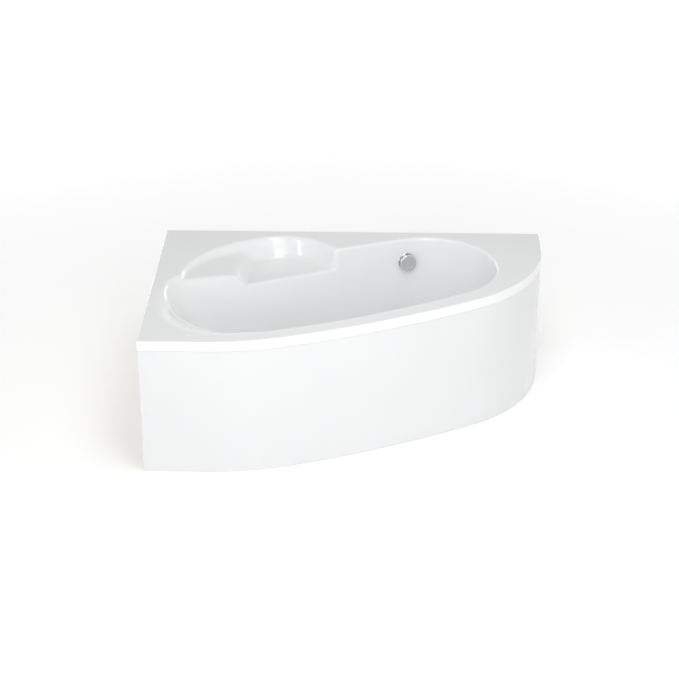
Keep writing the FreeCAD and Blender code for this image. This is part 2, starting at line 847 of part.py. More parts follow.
RAILS = ("left", "middle", "right")
RAIL_X = {
    "left": LEFT + " + left_rail_in",
    "middle": "(left_rail_in - right_rail_in) / 2",
    "right": RIGHT + " - right_rail_in",
}
FEET = tuple((rail, end) for rail in RAILS for end in ("front", "back"))


def rail_front(rail):
    """Y of a rail's front end, a gap behind the panel."""
    return panel_inside_at(amount(RAIL_X[rail])) + amount("rail_front_gap")


def add_measured(alias, number):
    """Put a length that is measured on the outline into the sheet."""
    SIZES[alias] = number
    row = len(SIZES)
    sheet.set("A%d" % row, alias)
    sheet.set("B%d" % row, str(number))
    sheet.setAlias("B%d" % row, alias)


def measure_rails():
    for rail in RAILS:
        add_measured(rail + "_rail_front_y", rail_front(rail))
    doc.recompute()


def rail_ends(rail):
    return rail + "_rail_front_y", BACK + " - %s_rail_back" % rail


def foot_place(rail, end):
    front, back = rail_ends(rail)
    y = front + " + front_foot_inset" if end == "front" else back + " - back_foot_inset"
    return RAIL_X[rail], y


def board_screw_places():
    """Two screws in each rail, either side of the board's middle over that rail."""
    inset = amount("floor_round + board_margin")
    outline = rounded(circles(BASIN_FLOOR), sweeps(BASIN_SWEEPS), -inset, 0)
    face = Part.Face(outline)
    places = []
    for rail in RAILS:
        x = amount(RAIL_X[rail])
        over = Part.makeLine(Vector(x, amount(FRONT), 0), Vector(x, amount(BACK), 0)).common(face)
        box_over = over.BoundBox
        middle, spread = (box_over.YMin + box_over.YMax) / 2, amount("board_screw_spread")
        places += [(x, middle - spread, rail), (x, middle + spread, rail)]
    return places


def leg_rails():
    """Galvanised square tubes across the board, drilled for the rods and the screws."""
    half, inner = "rail_side / 2", "(rail_side / 2 - rail_wall)"
    outlines = [[("-" + side, "-" + side), (side, "-" + side), (side, side), ("-" + side, side)]
                for side in (half, inner)]
    screws = board_screw_places()
    for rail in RAILS:
        name = "leg_rail_" + rail
        front, back = rail_ends(rail)
        body = padded(name, "XZ_Plane", outlines, "%s - (%s)" % (back, front))
        middle = "((%s + %s) / 2)" % (front, back)
        seat_at(body, (RAIL_X[rail], middle, RAIL_UNDER + " + rail_side / 2"))
        feet = [("0", "%s - %s" % (foot_place(rail, end)[1], middle)) for end in ("front", "back")]
        drilled(body, "XY_Plane", feet, "leg_hole_radius")
        places = [("0", "%f - %s" % (y, middle)) for _, y, on in screws if on == rail]
        places.append(("0", "%s + holder_screw_in - %s" % (front, middle)))
        drilled(body, "XY_Plane", places[:2], "board_screw_radius + screw_gap")
        drilled(body, "XY_Plane", places[2:], "small_screw_radius + screw_gap")
        keep(body, name)


def board_screws():
    """Screws up through the rails into the board."""
    screws = []
    for index, (x, y, _) in enumerate(board_screw_places(), 1):
        x, y = str(x), str(y)
        shank = cylinder("board_screw_%d_shank" % index, "board_screw_radius",
                         "rail_side + board_screw_bite", (x, y, RAIL_UNDER))
        head = cylinder("board_screw_%d_head" % index, "board_screw_head", "head_height",
                        (x, y, RAIL_UNDER + " - head_height"))
        screws.append(fused("board_screw_%d" % index, [shank, head]))
    keep(grouped("board_screws", screws), "board_screws")


# ------------------------------------------------------------------ adjustable feet

def feet():
    """Six levelling feet: a nylon pad turned loose on the end of a threaded rod."""
    for number, (rail, end) in enumerate(FEET, 1):
        x, y = foot_place(rail, end)
        bore = "leg_radius + running_gap"
        pad = turned("foot_pad_%d" % number, [
            ("0", "0"), ("pad_radius - pad_edge", "0"), ("pad_radius", "pad_edge"),
            ("pad_radius", "pad_height - pad_edge"), ("pad_radius - pad_edge", "pad_height"),
            ("socket_radius", "pad_height"), ("socket_radius", "socket_height"),
            (bore, "socket_height"), (bore, "socket_floor"), ("0", "socket_floor")])
        keep(seat_at(pad, (x, y, "0")), "foot_pad_%d" % number)
        top = RAIL_UNDER + " + rail_side + leg_stand_out"
        rod = turned("foot_rod_%d" % number, [
            ("0", "socket_floor"), ("leg_radius", "socket_floor"), ("leg_radius", top + " - leg_chamfer"),
            ("leg_radius - leg_chamfer", top), ("0", top)])
        keep(seat_at(rod, (x, y, "0")), "foot_rod_%d" % number)


def nuts(name, drop):
    """One hexagon nut round each rod, its top face a drop below the rails."""
    made = []
    for number, (rail, end) in enumerate(FEET, 1):
        x, y = foot_place(rail, end)
        start = (x, y, "%s - (%s) - nut_height" % (RAIL_UNDER, drop))
        body = hexagon("%s_%d_body" % (name, number), "nut_flats", "nut_height", start)
        bore = cylinder("%s_%d_bore" % (name, number), "leg_radius + running_gap", "nut_height", start)
        made.append(less("%s_%d" % (name, number), body, [bore]))
    keep(grouped(name, made), name)


# ------------------------------------------------------------------ wall brackets

BRACKETS = {
    "wall_bracket_back_left": ((LEFT + " + bracket_left_at", BACK, SKIRT_FOOT), UPRIGHT),
    "wall_bracket_back_right": ((RIGHT + " - bracket_right_at", BACK, SKIRT_FOOT), UPRIGHT),
    "wall_bracket_left": ((LEFT, BACK + " - bracket_side_at", SKIRT_FOOT),
                          Rotation(Vector(0, 0, 1), 90)),
}


def wall_brackets():
    """Steel hooks for the wall: the skirt stands on the shelf, in front of a lip."""
    skin = "(acrylic + glassfibre + batten_gap)"
    section = [("-bracket_wall", "-bracket_drop"), ("0", "-bracket_drop"), ("0", "0"),
               ("-" + skin, "0"), ("-" + skin, "bracket_lip"),
               ("-%s - bracket_wall" % skin, "bracket_lip"),
               ("-%s - bracket_wall" % skin, "-bracket_shelf"), ("-bracket_wall", "-bracket_shelf")]
    for name, (place, turn) in BRACKETS.items():
        body = padded(name, "YZ_Plane", [section], "bracket_width")
        drilled(body, "XZ_Plane", [("0", "-bracket_hole_low"), ("0", "-bracket_hole_high")],
                "bracket_hole_radius")
        keep(seat_at(body, place, turn), name)


# ------------------------------------------------------------------ front panel

CLIP_SHARES = (0.08, 0.29, 0.5, 0.71, 0.9)
CLIP_LEG = "(panel_setback + panel_lip + panel_wall + clip_gap)"
CLIP_SCREW_AT = "(panel_setback + panel_lip + panel_wall + clip_gap + clip_foot / 2 + clip_sheet / 2)"


def front_panel():
    """Acrylic apron with a lip along its top and foot and a return at each wall."""
    face, inside = amount("panel_setback"), amount(PANEL_INSIDE)
    lip = inside + amount("panel_lip")
    foot, top, wall = amount("panel_foot"), amount(PANEL_TOP), amount("panel_wall")
    left, right = amount(LEFT) + face, amount(RIGHT) - face
    front, back = amount(FRONT) + face, amount(BACK) - face
    length = amount("panel_return")
    pieces = [
        front_band(face, lip, foot, foot + wall), front_band(face, lip, top - wall, top),
        Part.makeBox(wall, length, top - foot, Vector(left, front, foot)),
        Part.makeBox(length, wall, top - foot, Vector(right - length, back - wall, foot)),
    ]
    cutters = []
    for rail in RAILS:
        cutters.append(Part.makeCylinder(amount("small_screw_radius + screw_gap"), wall,
                                         holder_lip_screw(rail, foot)))
    shaped("front_panel", front_band(face, inside, foot, top).fuse(pieces).cut(cutters).removeSplitter())


def panel_clips():
    """Bent spring clips screwed under the front batten; the panel's top lip hangs on them."""
    leg, sheet_thick = amount(CLIP_LEG), amount("clip_sheet")
    top = amount(BATTEN_UNDER)
    hook = amount(PANEL_TOP) - amount("panel_wall") - sheet_thick
    tip, tail = leg - amount("clip_hook"), leg + amount("clip_foot")
    section = [(tip, hook), (leg + sheet_thick, hook), (leg + sheet_thick, top - sheet_thick),
               (tail, top - sheet_thick), (tail, top), (leg, top),
               (leg, hook + sheet_thick), (tip, hook + sheet_thick)]
    width = amount("clip_width")
    points = [Vector(-width / 2, y, z) for y, z in section + section[:1]]
    clip = Part.Face(Part.makePolygon(points)).extrude(Vector(width, 0, 0))
    clip = clip.cut(Part.makeCylinder(amount("small_screw_radius + screw_gap"), sheet_thick,
                                      Vector(0, amount(CLIP_SCREW_AT), top - sheet_thick)))
    shaped("panel_clips", Part.makeCompound([clip.transformed(place.toMatrix())
                                             for place in map(on_front, CLIP_SHARES)]))


def screw(start, length, down=False):
    """Pan-headed screw standing on its head, or hanging from it."""
    head = amount("head_height")
    shank = Part.makeCylinder(amount("small_screw_radius"), length, Vector())
    solid = shank.fuse(Part.makeCylinder(amount("small_screw_head"), head, Vector(0, 0, -head)))
    if down:
        solid = solid.mirror(Vector(), Vector(0, 0, 1))
    return solid.translated(start)


def panel_clip_screws():
    sheet_thick = amount("clip_sheet")
    start = Vector(0, amount(CLIP_SCREW_AT), amount(BATTEN_UNDER) - sheet_thick)
    length = sheet_thick + amount("small_screw_bite")
    shaped("panel_clip_screws", Part.makeCompound([
        screw(start, length).transformed(place.toMatrix()) for place in map(on_front, CLIP_SHARES)]))


def holder_lip_screw(rail, height):
    """Place of the screw through a holder's foot into the panel's bottom lip."""
    x = amount(RAIL_X[rail])
    return Vector(x, panel_inside_at(x) + amount("holder_foot") / 2 + amount("clip_sheet"), height)


def panel_holders():
    """Bent strips from the rails' front ends down to the panel's bottom lip."""
    strips = []
    thick, width = amount("clip_sheet"), amount("clip_width")
    under, lip = amount(RAIL_UNDER), amount("panel_foot + panel_wall")
    for rail in RAILS:
        x = amount(RAIL_X[rail])
        inside, end = panel_inside_at(x), rail_front(rail)
        leg = inside + amount("holder_gap")
        toe = leg - amount("holder_foot")
        tail = end + amount("holder_grip")
        section = [(toe, lip), (leg + thick, lip), (leg + thick, under - thick), (tail, under - thick),
                   (tail, under), (leg, under), (leg, lip + thick), (toe, lip + thick)]
        points = [Vector(x - width / 2, y, z) for y, z in section + section[:1]]
        strip = Part.Face(Part.makePolygon(points)).extrude(Vector(width, 0, 0))
        hole = amount("small_screw_radius + screw_gap")
        under_rail = Vector(x, end + amount("holder_screw_in"), under - thick)
        cutters = [Part.makeCylinder(hole, thick, place) for place in (under_rail, holder_lip_screw(rail, lip))]
        strips.append(strip.cut(cutters))
    shaped("panel_holders", Part.makeCompound(strips))


def panel_holder_screws():
    thick, lip = amount("clip_sheet"), amount("panel_foot + panel_wall")
    screws = []
    for rail in RAILS:
        under = Vector(amount(RAIL_X[rail]), rail_front(rail) + amount("holder_screw_in"),
                       amount(RAIL_UNDER) - thick)
        screws.append(screw(under, thick + amount("holder_screw_bite")))
        screws.append(screw(holder_lip_screw(rail, lip + thick), thick + amount("panel_wall"), down=True))
    shaped("panel_holder_screws", Part.makeCompound(screws))


# ------------------------------------------------------------------ waste in the floor

def on_drain(item, x="0", y="0", z="0", turn=UPRIGHT):
    return seat_at(item, ("%s + %s" % (DRAIN_X, x), "%s + %s" % (DRAIN_Y, y), z), turn)


def drain_flange():
    """Chromed flange in the floor, with a threaded throat and a spider for the stem."""
    foot = DISH + " - throat_length"
    rim_ring = turned("drain_flange_ring", [
        ("throat_bore", foot), ("throat_radius", foot), ("throat_radius", DISH),
        ("flange_radius", DISH), ("flange_radius", FLANGE_TOP + " - flange_height / 2"),
        ("flange_radius - flange_height", FLANGE_TOP), ("throat_bore", FLANGE_TOP)])
    spider = FLANGE_TOP + " - spider_drop - spider_height"
    hub = turned("drain_flange_hub", [
        ("stem_radius + running_gap", spider), ("spider_hub", spider),
        ("spider_hub", spider + " + spider_height"),
        ("stem_radius + running_gap", spider + " + spider_height")])
    spokes = spokes_of("drain_flange_spoke", "spider_hub - spoke / 2", "throat_bore + spoke / 2",
                       "spoke", spider, "spider_height")
    keep(on_drain(fused("drain_flange", [rim_ring, hub] + spokes)), "drain_flange")


def spokes_of(name, start, end, width, foot, height):
    """Flat spokes round Z, from one radius to another."""
    made = []
    for index in range(SPOKES):
        turn = Rotation(Vector(0, 0, 1), 90 + 360 / SPOKES * index)
        bar = box("%s_%d" % (name, index), ("(%s) - (%s)" % (end, start), width, height),
                  (start, "-(%s) / 2" % width, foot))
        holder = grouped("%s_%d_turned" % (name, index), [bar])
        holder.Placement = Placement(Vector(), turn)
        made.append(holder)
    return made


def ring(name, bore, radius, foot, top):
    return turned(name, [(bore, foot), (radius, foot), (radius, top), (bore, top)])


def drain_gasket():
    keep(on_drain(ring("drain_gasket", "drain_hole_radius", "gasket_radius", WASTE_TOP, DISH_UNDER)),
         "drain_gasket")


def hose_bearing():
    """Direction in plan from the drain to the overflow's can."""
    top = can_centre()
    return math.atan2(top.y - amount(DRAIN_Y), top.x - amount(DRAIN_X))


def can_centre():
    """Middle of the overflow's can, behind the basin's wall."""
    depth = amount(CAN_FACE) + amount("can_depth") / 2
    return OVERFLOW.multVec(Vector(0, 0, -depth))


def drain_body():
    """Plastic waste body: flange, neck, chamber, hose port, lever boss, lug and tail."""
    port = Rotation(Vector(0, 0, 1), Vector(math.cos(hose_bearing()), math.sin(hose_bearing()), 0))
    port_height = "(basin_floor - port_drop)"
    solids = [
        cylinder("waste_flange", "gasket_radius", "waste_wall", ("0", "0", WASTE_TOP + " - waste_wall")),
        cylinder("waste_chamber", "waste_radius", WASTE_TOP + " - " + WASTE_UNDER,
                 ("0", "0", WASTE_UNDER)),
        cylinder("waste_bead", "bead_radius", "bead_height", ("0", "0", WASTE_UNDER)),
        cylinder("waste_tail", "pipe_radius", "tail_length", ("0", "0", WASTE_UNDER + " - tail_length")),
        cylinder("waste_port", "pipe_radius", "port_reach", ("0", "0", port_height), port),
        cylinder("waste_shaft_boss", "shaft_boss", "boss_reach - waste_bore / 2",
                 ("-boss_reach", "-lever_arm", LEVER_HEIGHT), ALONG_X),
        cylinder("waste_end_boss", "shaft_boss", "end_boss_reach - waste_bore / 2",
                 ("waste_bore / 2", "-lever_arm", LEVER_HEIGHT), ALONG_X),
        box("waste_lug", ("lug_reach - waste_bore", "lug_length", "2 * lug_half"),
            ("-lug_reach", "lug_start - lever_arm", WIRE_HEIGHT + " - lug_half")),
    ]
    cutters = [
        cylinder("waste_cavity", "waste_bore", WASTE_TOP + " - waste_neck - " + WASTE_UNDER
                 + " - waste_wall", ("0", "0", WASTE_UNDER + " + waste_wall")),
        cylinder("waste_neck_bore", "throat_radius + running_gap", "2 * waste_neck",
                 ("0", "0", WASTE_TOP + " - waste_neck - waste_wall")),
        cylinder("waste_tail_bore", "pipe_bore", "tail_length + 2 * waste_wall",
                 ("0", "0", WASTE_UNDER + " - tail_length")),
        cylinder("waste_port_bore", "pipe_bore", "port_reach", ("0", "0", port_height), port),
        cylinder("waste_shaft_bore", "shaft_radius + running_gap", "crank_out + shaft_end + shaft_end_gap",
                 ("-crank_out", "-lever_arm", LEVER_HEIGHT), ALONG_X),
        cylinder("waste_lug_bore", "conduit_radius + running_gap", "2 * lug_length",
                 (WIRE_X, "lug_start - lever_arm - lug_length / 2", WIRE_HEIGHT), ALONG_Y),
    ]
    keep(on_drain(less("drain_body", fused("drain_body_solid", solids), cutters)), "drain_body")


def plug():
    """Pop-up plug: domed cap, seal ring under it, and the stem that the lever lifts."""
    keep(on_drain(turned("plug_cap", [
        ("0", CAP_UNDER), ("cap_radius", CAP_UNDER), ("cap_radius", CAP_UNDER + " + cap_edge"),
        ("cap_crown_radius", CAP_UNDER + " + cap_crown"), ("0", CAP_UNDER + " + cap_height")])), "plug_cap")
    keep(on_drain(ring("plug_seal", "seal_bore", "seal_radius", FLANGE_TOP, CAP_UNDER)), "plug_seal")
    keep(on_drain(turned("plug_stem", [
        ("0", STEM_FOOT), ("stem_radius", STEM_FOOT), ("stem_radius", CAP_UNDER), ("0", CAP_UNDER)])),
        "plug_stem")


def plug_lever():
    """Shaft through the waste body with an arm under the stem and a slotted crank outside.
    It is drawn with the plug down; half of its swing brings it level."""
    solids = [
        cylinder("lever_shaft", "shaft_radius", "crank_out + shaft_end", ("-crank_out", "0", "0"), ALONG_X),
        box("lever_arm_bar", ("2 * lever_tip", "lever_arm", "lever_thick"),
            ("-lever_tip", "0", "-lever_thick / 2")),
        cylinder("lever_tip_round", "lever_tip", "2 * lever_tip", ("-lever_tip", "lever_arm", "0"),
                 ALONG_X),
        box("lever_crank", ("crank_out - crank_in", "crank_sheet", "crank_length"),
            ("-crank_out", "-crank_sheet / 2", "-crank_length")),
    ]
    slot = box("lever_slot", ("crank_slot", "2 * crank_sheet", "crank_length - wire_drop + slot_above"),
               (WIRE_X + " - crank_slot / 2", "-crank_sheet", "-crank_length"))
    lever = less("plug_lever", fused("lever_solid", solids), [slot])
    tilt = Rotation(Vector(1, 0, 0), -amount("lever_swing") / 2)
    keep(on_drain(lever, y="-lever_arm", z=LEVER_HEIGHT, turn=tilt), "plug_lever")


def cable_wire():
    """Bare end of the pull wire, with the barrel that lies behind the slotted crank."""
    barrel = cylinder("wire_barrel", "barrel_radius", "barrel_length",
                      (WIRE_X + " - barrel_length / 2", "0", "0"), ALONG_X)
    wire = cylinder("wire_strand", "wire_radius", "wire_reach", (WIRE_X, "0", "0"), ALONG_Y)
    behind = "-lever_arm - crank_sheet / 2 - barrel_radius - barrel_gap - wire_drop * tan(lever_swing / 2)"
    keep(on_drain(fused("cable_wire", [barrel, wire]), y=behind, z=WIRE_HEIGHT), "cable_wire")


# ------------------------------------------------------------------ trap and outlet

def trap():
    """Flat trap under the waste body: seal, union nut and cup with its side outlet."""
    keep(on_drain(ring("trap_seal", "throat_radius", "bead_radius", COLLAR_TOP, WASTE_UNDER)), "trap_seal")
    shoulder = WASTE_UNDER + " + bead_height"
    top, foot = shoulder + " + trap_nut_lip", shoulder + " + trap_nut_lip - trap_nut_height"
    bore = "collar_radius + running_gap"
    keep(on_drain(turned("trap_nut", [
        (bore, foot), ("trap_nut_radius", foot), ("trap_nut_radius", top),
        ("waste_radius + running_gap", top), ("waste_radius + running_gap", shoulder),
        (bore, shoulder)])), "trap_nut")
    inner = "trap_radius - trap_wall"
    cup = turned("trap_cup_shell", [
        ("0", TRAP_UNDER), ("trap_radius", TRAP_UNDER), ("trap_radius", TRAP_TOP),
        ("collar_radius", TRAP_TOP), ("collar_radius", COLLAR_TOP), ("collar_bore", COLLAR_TOP),
        ("collar_bore", TRAP_TOP + " - trap_bottom"), (inner, TRAP_TOP + " - trap_bottom"),
        (inner, TRAP_UNDER + " + trap_bottom"), ("0", TRAP_UNDER + " + trap_bottom")])
    stub = cylinder("trap_stub", "outlet_radius", "outlet_stub - (%s)" % inner,
                    ("0", inner, OUTLET_HEIGHT), ALONG_Y)
    stub_bore = cylinder("trap_stub_bore", "outlet_bore", "outlet_stub",
                         ("0", inner + " - running_gap", OUTLET_HEIGHT), ALONG_Y)
    keep(on_drain(less("trap_cup", fused("trap_cup_solid", [cup, stub]), [stub_bore])), "trap_cup")


def tube(name, bore, radius, length, start, turn):
    """Straight tube along any axis."""
    outside = cylinder(name + "_outside", radius, length, start, turn)
    return less(name, outside, [cylinder(name + "_inside", bore, length, start, turn)])


def outlet():
    """Pipe from the trap to the wall, with a ring that stops the socket it goes into, held by a nut."""
    reach = BACK + " - outlet_wall_gap - " + DRAIN_Y
    length = reach + " - outlet_stub"
    start = ("0", "outlet_stub", OUTLET_HEIGHT)
    outside = cylinder("outlet_outside", "outlet_radius", length, start, ALONG_Y)
    stop = cylinder("outlet_stop", "outlet_stop_radius", "outlet_stop_width",
                    ("0", reach + " - outlet_spigot - outlet_stop_width", OUTLET_HEIGHT), ALONG_Y)
    inside = cylinder("outlet_inside", "outlet_bore", length, start, ALONG_Y)
    pipe = less("outlet_pipe", fused("outlet_solid", [outside, stop]), [inside])
    keep(on_drain(pipe), "outlet_pipe")
    nut = tube("outlet_nut", "outlet_radius + running_gap", "outlet_nut_radius", "outlet_nut_length",
               ("0", "outlet_stub - outlet_nut_length / 2", OUTLET_HEIGHT), ALONG_Y)
    keep(on_drain(nut), "outlet_nut")


# ------------------------------------------------------------------ overflow

def on_wall(item, name):
    item.Placement = OVERFLOW
    keep(item, name)


def overflow_rosette():
    """Chromed ring on the wall: its sleeve screws into the can, its hub carries the spindle."""
    sleeve = "overflow_hole_radius - running_gap"
    plate = turned("overflow_rosette_plate", [
        ("rosette_bore", "-sleeve_length"), (sleeve, "-sleeve_length"), (sleeve, "0"),
        ("rosette_radius", "0"), ("rosette_radius", "rosette_thick / 2"),
        ("rosette_radius - rosette_thick / 2", "rosette_thick"), ("rosette_bore", "rosette_thick")])
    hub = ring("overflow_rosette_hub", "spindle_radius + running_gap", "hub_radius", "-hub_depth",
               "rosette_thick")
    spokes = spokes_of("overflow_rosette_spoke", "hub_radius - spoke_root", "rosette_bore + spoke_root",
                       "rosette_spoke", "-hub_depth", "hub_depth")
    on_wall(fused("overflow_rosette", [plate, hub] + spokes), "overflow_rosette")


def overflow_gasket():
    on_wall(ring("overflow_gasket", "overflow_hole_radius", "can_flange", "-" + CAN_FACE,
                 "-" + SKIN), "overflow_gasket")


def overflow_spindle():
    """Spindle from the bearing at the back of the can to the knob, with the cable's drum."""
    back = "-%s + can_wall + bearing_floor + stem_gap" % CAN_BACK
    drum_back, drum_front = "(-drum_axis - drum_width / 2)", "(-drum_axis + drum_width / 2)"
    end = "knob_end - knob_front"
    on_wall(turned("overflow_spindle", [
        ("0", back), ("spindle_radius", back),
        ("spindle_radius", drum_back + " - drum_rim_thick"), ("drum_rim", drum_back + " - drum_rim_thick"),
        ("drum_rim", drum_back), ("drum_radius", drum_back), ("drum_radius", drum_front),
        ("drum_rim", drum_front), ("drum_rim", drum_front + " + drum_rim_thick"),
        ("spindle_radius", drum_front + " + drum_rim_thick"), ("spindle_radius", end), ("0", end)]),
        "overflow_spindle")


def overflow_knob():
    """Chromed turning cover with shallow finger scallops; its face is plain."""
    inside, wall = "knob_end - knob_front", "knob_radius - knob_skirt"
    cover = turned("overflow_knob_cover", [
        ("spindle_radius", "knob_start - knob_bevel"), ("knob_hub", "knob_start - knob_bevel"),
        ("knob_hub", inside), (wall, inside), (wall, "knob_start"), ("knob_radius", "knob_start"),
        ("knob_radius", "knob_end - knob_bevel"), ("knob_radius - knob_bevel", "knob_end"),
        ("0", "knob_end"), ("0", inside), ("spindle_radius", inside)])
    cutters = []
    for index in range(int(amount("scallops"))):
        angle = "(360 / scallops * %d)" % index
        reach = "(knob_radius + scallop_radius - scallop_depth)"
        cutters.append(cylinder("overflow_scallop_%d" % index, "scallop_radius", "2 * knob_end",
                                ("%s * cos(%s)" % (reach, angle), "%s * sin(%s)" % (reach, angle), "0")))
    on_wall(less("overflow_knob", cover, cutters), "overflow_knob")


def overflow_body():
    """Plastic can behind the wall, with the spindle's bearing, the cable's socket and a
    spigot that hangs straight down for the hose."""
    back = "can_wall - " + CAN_BACK
    down = Rotation(Vector(0, 0, 1), OVERFLOW.Rotation.inverted().multVec(Vector(0, 0, -1)))
    middle = ("0", "0", "can_depth / 2 - " + CAN_BACK)
    socket_at = ("-cable_socket", "-drum_radius", "-drum_axis")
    outside = [
        cylinder("can_drum", "can_radius", "can_depth", ("0", "0", "-" + CAN_BACK)),
        cylinder("can_flange_plate", "can_flange", "can_flange_thick",
                 ("0", "0", "-%s - can_flange_thick" % CAN_FACE)),
        cylinder("can_socket", "cable_socket_radius", "cable_socket_length", socket_at, ALONG_X),
        cylinder("can_spigot", "pipe_radius", "spigot_length", middle, down),
    ]
    inside = [
        cylinder("can_cavity", "can_radius - can_wall", "can_depth", ("0", "0", back)),
        cylinder("can_spigot_bore", "pipe_bore", "spigot_length", middle, down),
        cylinder("can_cable_bore", "conduit_radius + running_gap", "cable_seat", socket_at, ALONG_X),
        cylinder("can_wire_bore", "conduit_bore", "cable_bore_length", socket_at, ALONG_X),
    ]
    shell = less("can_shell", fused("can_outside", outside), inside)
    bearing = ring("can_bearing", "spindle_radius + running_gap", "bearing_radius", back,
                   back + " + bearing_length")
    floor = ring("can_bearing_floor", "0", "bearing_radius", back, back + " + bearing_floor")
    on_wall(fused("overflow_body", [shell, bearing, floor]), "overflow_body")


# ------------------------------------------------------------------ hose and cable

def swept(path, radius, bore):
    """Tube along a path of straight runs and tangent arcs."""
    start, way = path[0].Vertexes[0].Point, path[0].tangentAt(path[0].FirstParameter)
    spine = Part.Wire(path)
    solids = [spine.makePipeShell([Part.Wire(Part.makeCircle(size, start, way))], True, True)
              for size in (radius, bore)]
    return solids[0].cut(solids[1])


def hose_path():
    top, angle = can_centre(), hose_bearing()
    level, bend = amount("basin_floor - port_drop"), amount("hose_bend")
    inwards = Vector(-math.cos(angle), -math.sin(angle), 0)
    start = Vector(top.x, top.y, top.z - amount("spigot_length"))
    turn_start = Vector(top.x, top.y, level + bend)
    middle = turn_start + inwards * bend
    turn_end = middle - Vector(0, 0, bend)
    turn_middle = middle + (turn_start - middle + turn_end - middle) * (1 / math.sqrt(2))
    end = drain_centre(level) - inwards * amount("port_reach")
    return [Part.makeLine(start, turn_start), Part.Arc(turn_start, turn_middle, turn_end).toShape(),
            Part.makeLine(turn_end, end)]


def overflow_hose():
    """Corrugated hose from the can down to the waste body, and its two union nuts."""
    path = hose_path()
    shaped("overflow_hose", swept(path, amount("pipe_radius"), amount("pipe_bore")))
    bore, radius, length = "pipe_radius + running_gap", "hose_nut_radius", "hose_nut_length"
    for name, edge, end in (("hose_nut_top", path[0], 0), ("hose_nut_bottom", path[2], -1)):
        point, way = edge.Vertexes[end].Point, edge.tangentAt(edge.FirstParameter)
        start = point - way * (amount(length) / 2)
        nut = tube(name, bore, radius, length, ("0", "0", "0"), UPRIGHT)
        nut.Placement = Placement(start, Rotation(Vector(0, 0, 1), way))
        keep(nut, name)


RUN_SHARE = 0.45                    # of the shorter run, taken up by each arc


def cable_path():
    """Runs between the hand-placed points, with the largest arc that fits at each."""
    low = drain_centre(amount(WIRE_HEIGHT))
    low += Vector(amount(WIRE_X), amount("lug_start - lever_arm + conduit_start"), 0)
    lead, high = [OVERFLOW.multVec(Vector(amount(across), -amount("drum_radius"), -amount("drum_axis")))
                  for across in ("-cable_socket - cable_lead", "cable_seat - cable_socket")]
    points = [Vector(amount(RIGHT) - across, amount(BACK) - along, amount(level) + above)
              for across, along, level, above in CABLE_POINTS]
    points = [low] + points + [lead, high]
    edges, start = [], low
    for before, corner, after in zip(points, points[1:], points[2:]):
        back, ahead = before - corner, after - corner
        used = RUN_SHARE * min(back.Length, ahead.Length)
        half_turn = (math.pi - back.getAngle(ahead)) / 2
        radius = used / math.tan(half_turn)
        enters = corner + back.normalize() * used
        leaves = corner + ahead.normalize() * used
        inside = (back + ahead).normalize() * (radius / math.cos(half_turn) - radius)
        edges += [Part.makeLine(start, enters), Part.Arc(enters, corner + inside, leaves).toShape()]
        start = leaves
    return edges + [Part.makeLine(start, high)]


def cable_conduit():
    """Sheath of the pull cable, from the lug on the waste body to the overflow's can."""
    shaped("cable_conduit", swept(cable_path(), amount("conduit_radius"), amount("conduit_bore")))


# ------------------------------------------------------------------ run

def build():
    measure_rails()
    shaped("tub_shell", tub_shell())
    shaped("glassfibre_backing", glassfibre_backing())
    bottom_board()
    rim_battens()
    leg_rails()
    board_screws()
    feet()
    nuts("weld_nuts", "0")
    nuts("lock_nuts", "nut_height")
    wall_brackets()
    front_panel()
    panel_clips()
    panel_clip_screws()
    panel_holders()
    panel_holder_screws()
    drain_flange()
    drain_gasket()
    drain_body()
    plug()
    plug_lever()
    cable_wire()
    trap()
    outlet()
    overflow_rosette()
    overflow_gasket()
    overflow_spindle()
    overflow_knob()
    overflow_body()
    overflow_hose()
    cable_conduit()
    doc.recompute()


def check():
    for item in doc.Objects:
        if {"Invalid", "Error"} & set(item.State):
            raise RuntimeError("%s failed: %s" % (item.Name, item.State))
    for item in sub_parts:
        if item.Shape.isNull() or not item.Shape.isValid() or not item.Shape.Solids:
            raise RuntimeError("%s has no sound solid" % item.Label)


def export():
    os.makedirs("parts", exist_ok=True)
    for item in sub_parts:
        item.Shape.exportStep("parts/%s.step" % item.Label)


build()
check()
export()
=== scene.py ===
"""Dresses the corner bathtub: moulded tub, front panel, feet, frame, waste, overflow and studio."""
import json
import math

import bmesh
import bpy
import numpy as np
from mathutils import Matrix, Vector


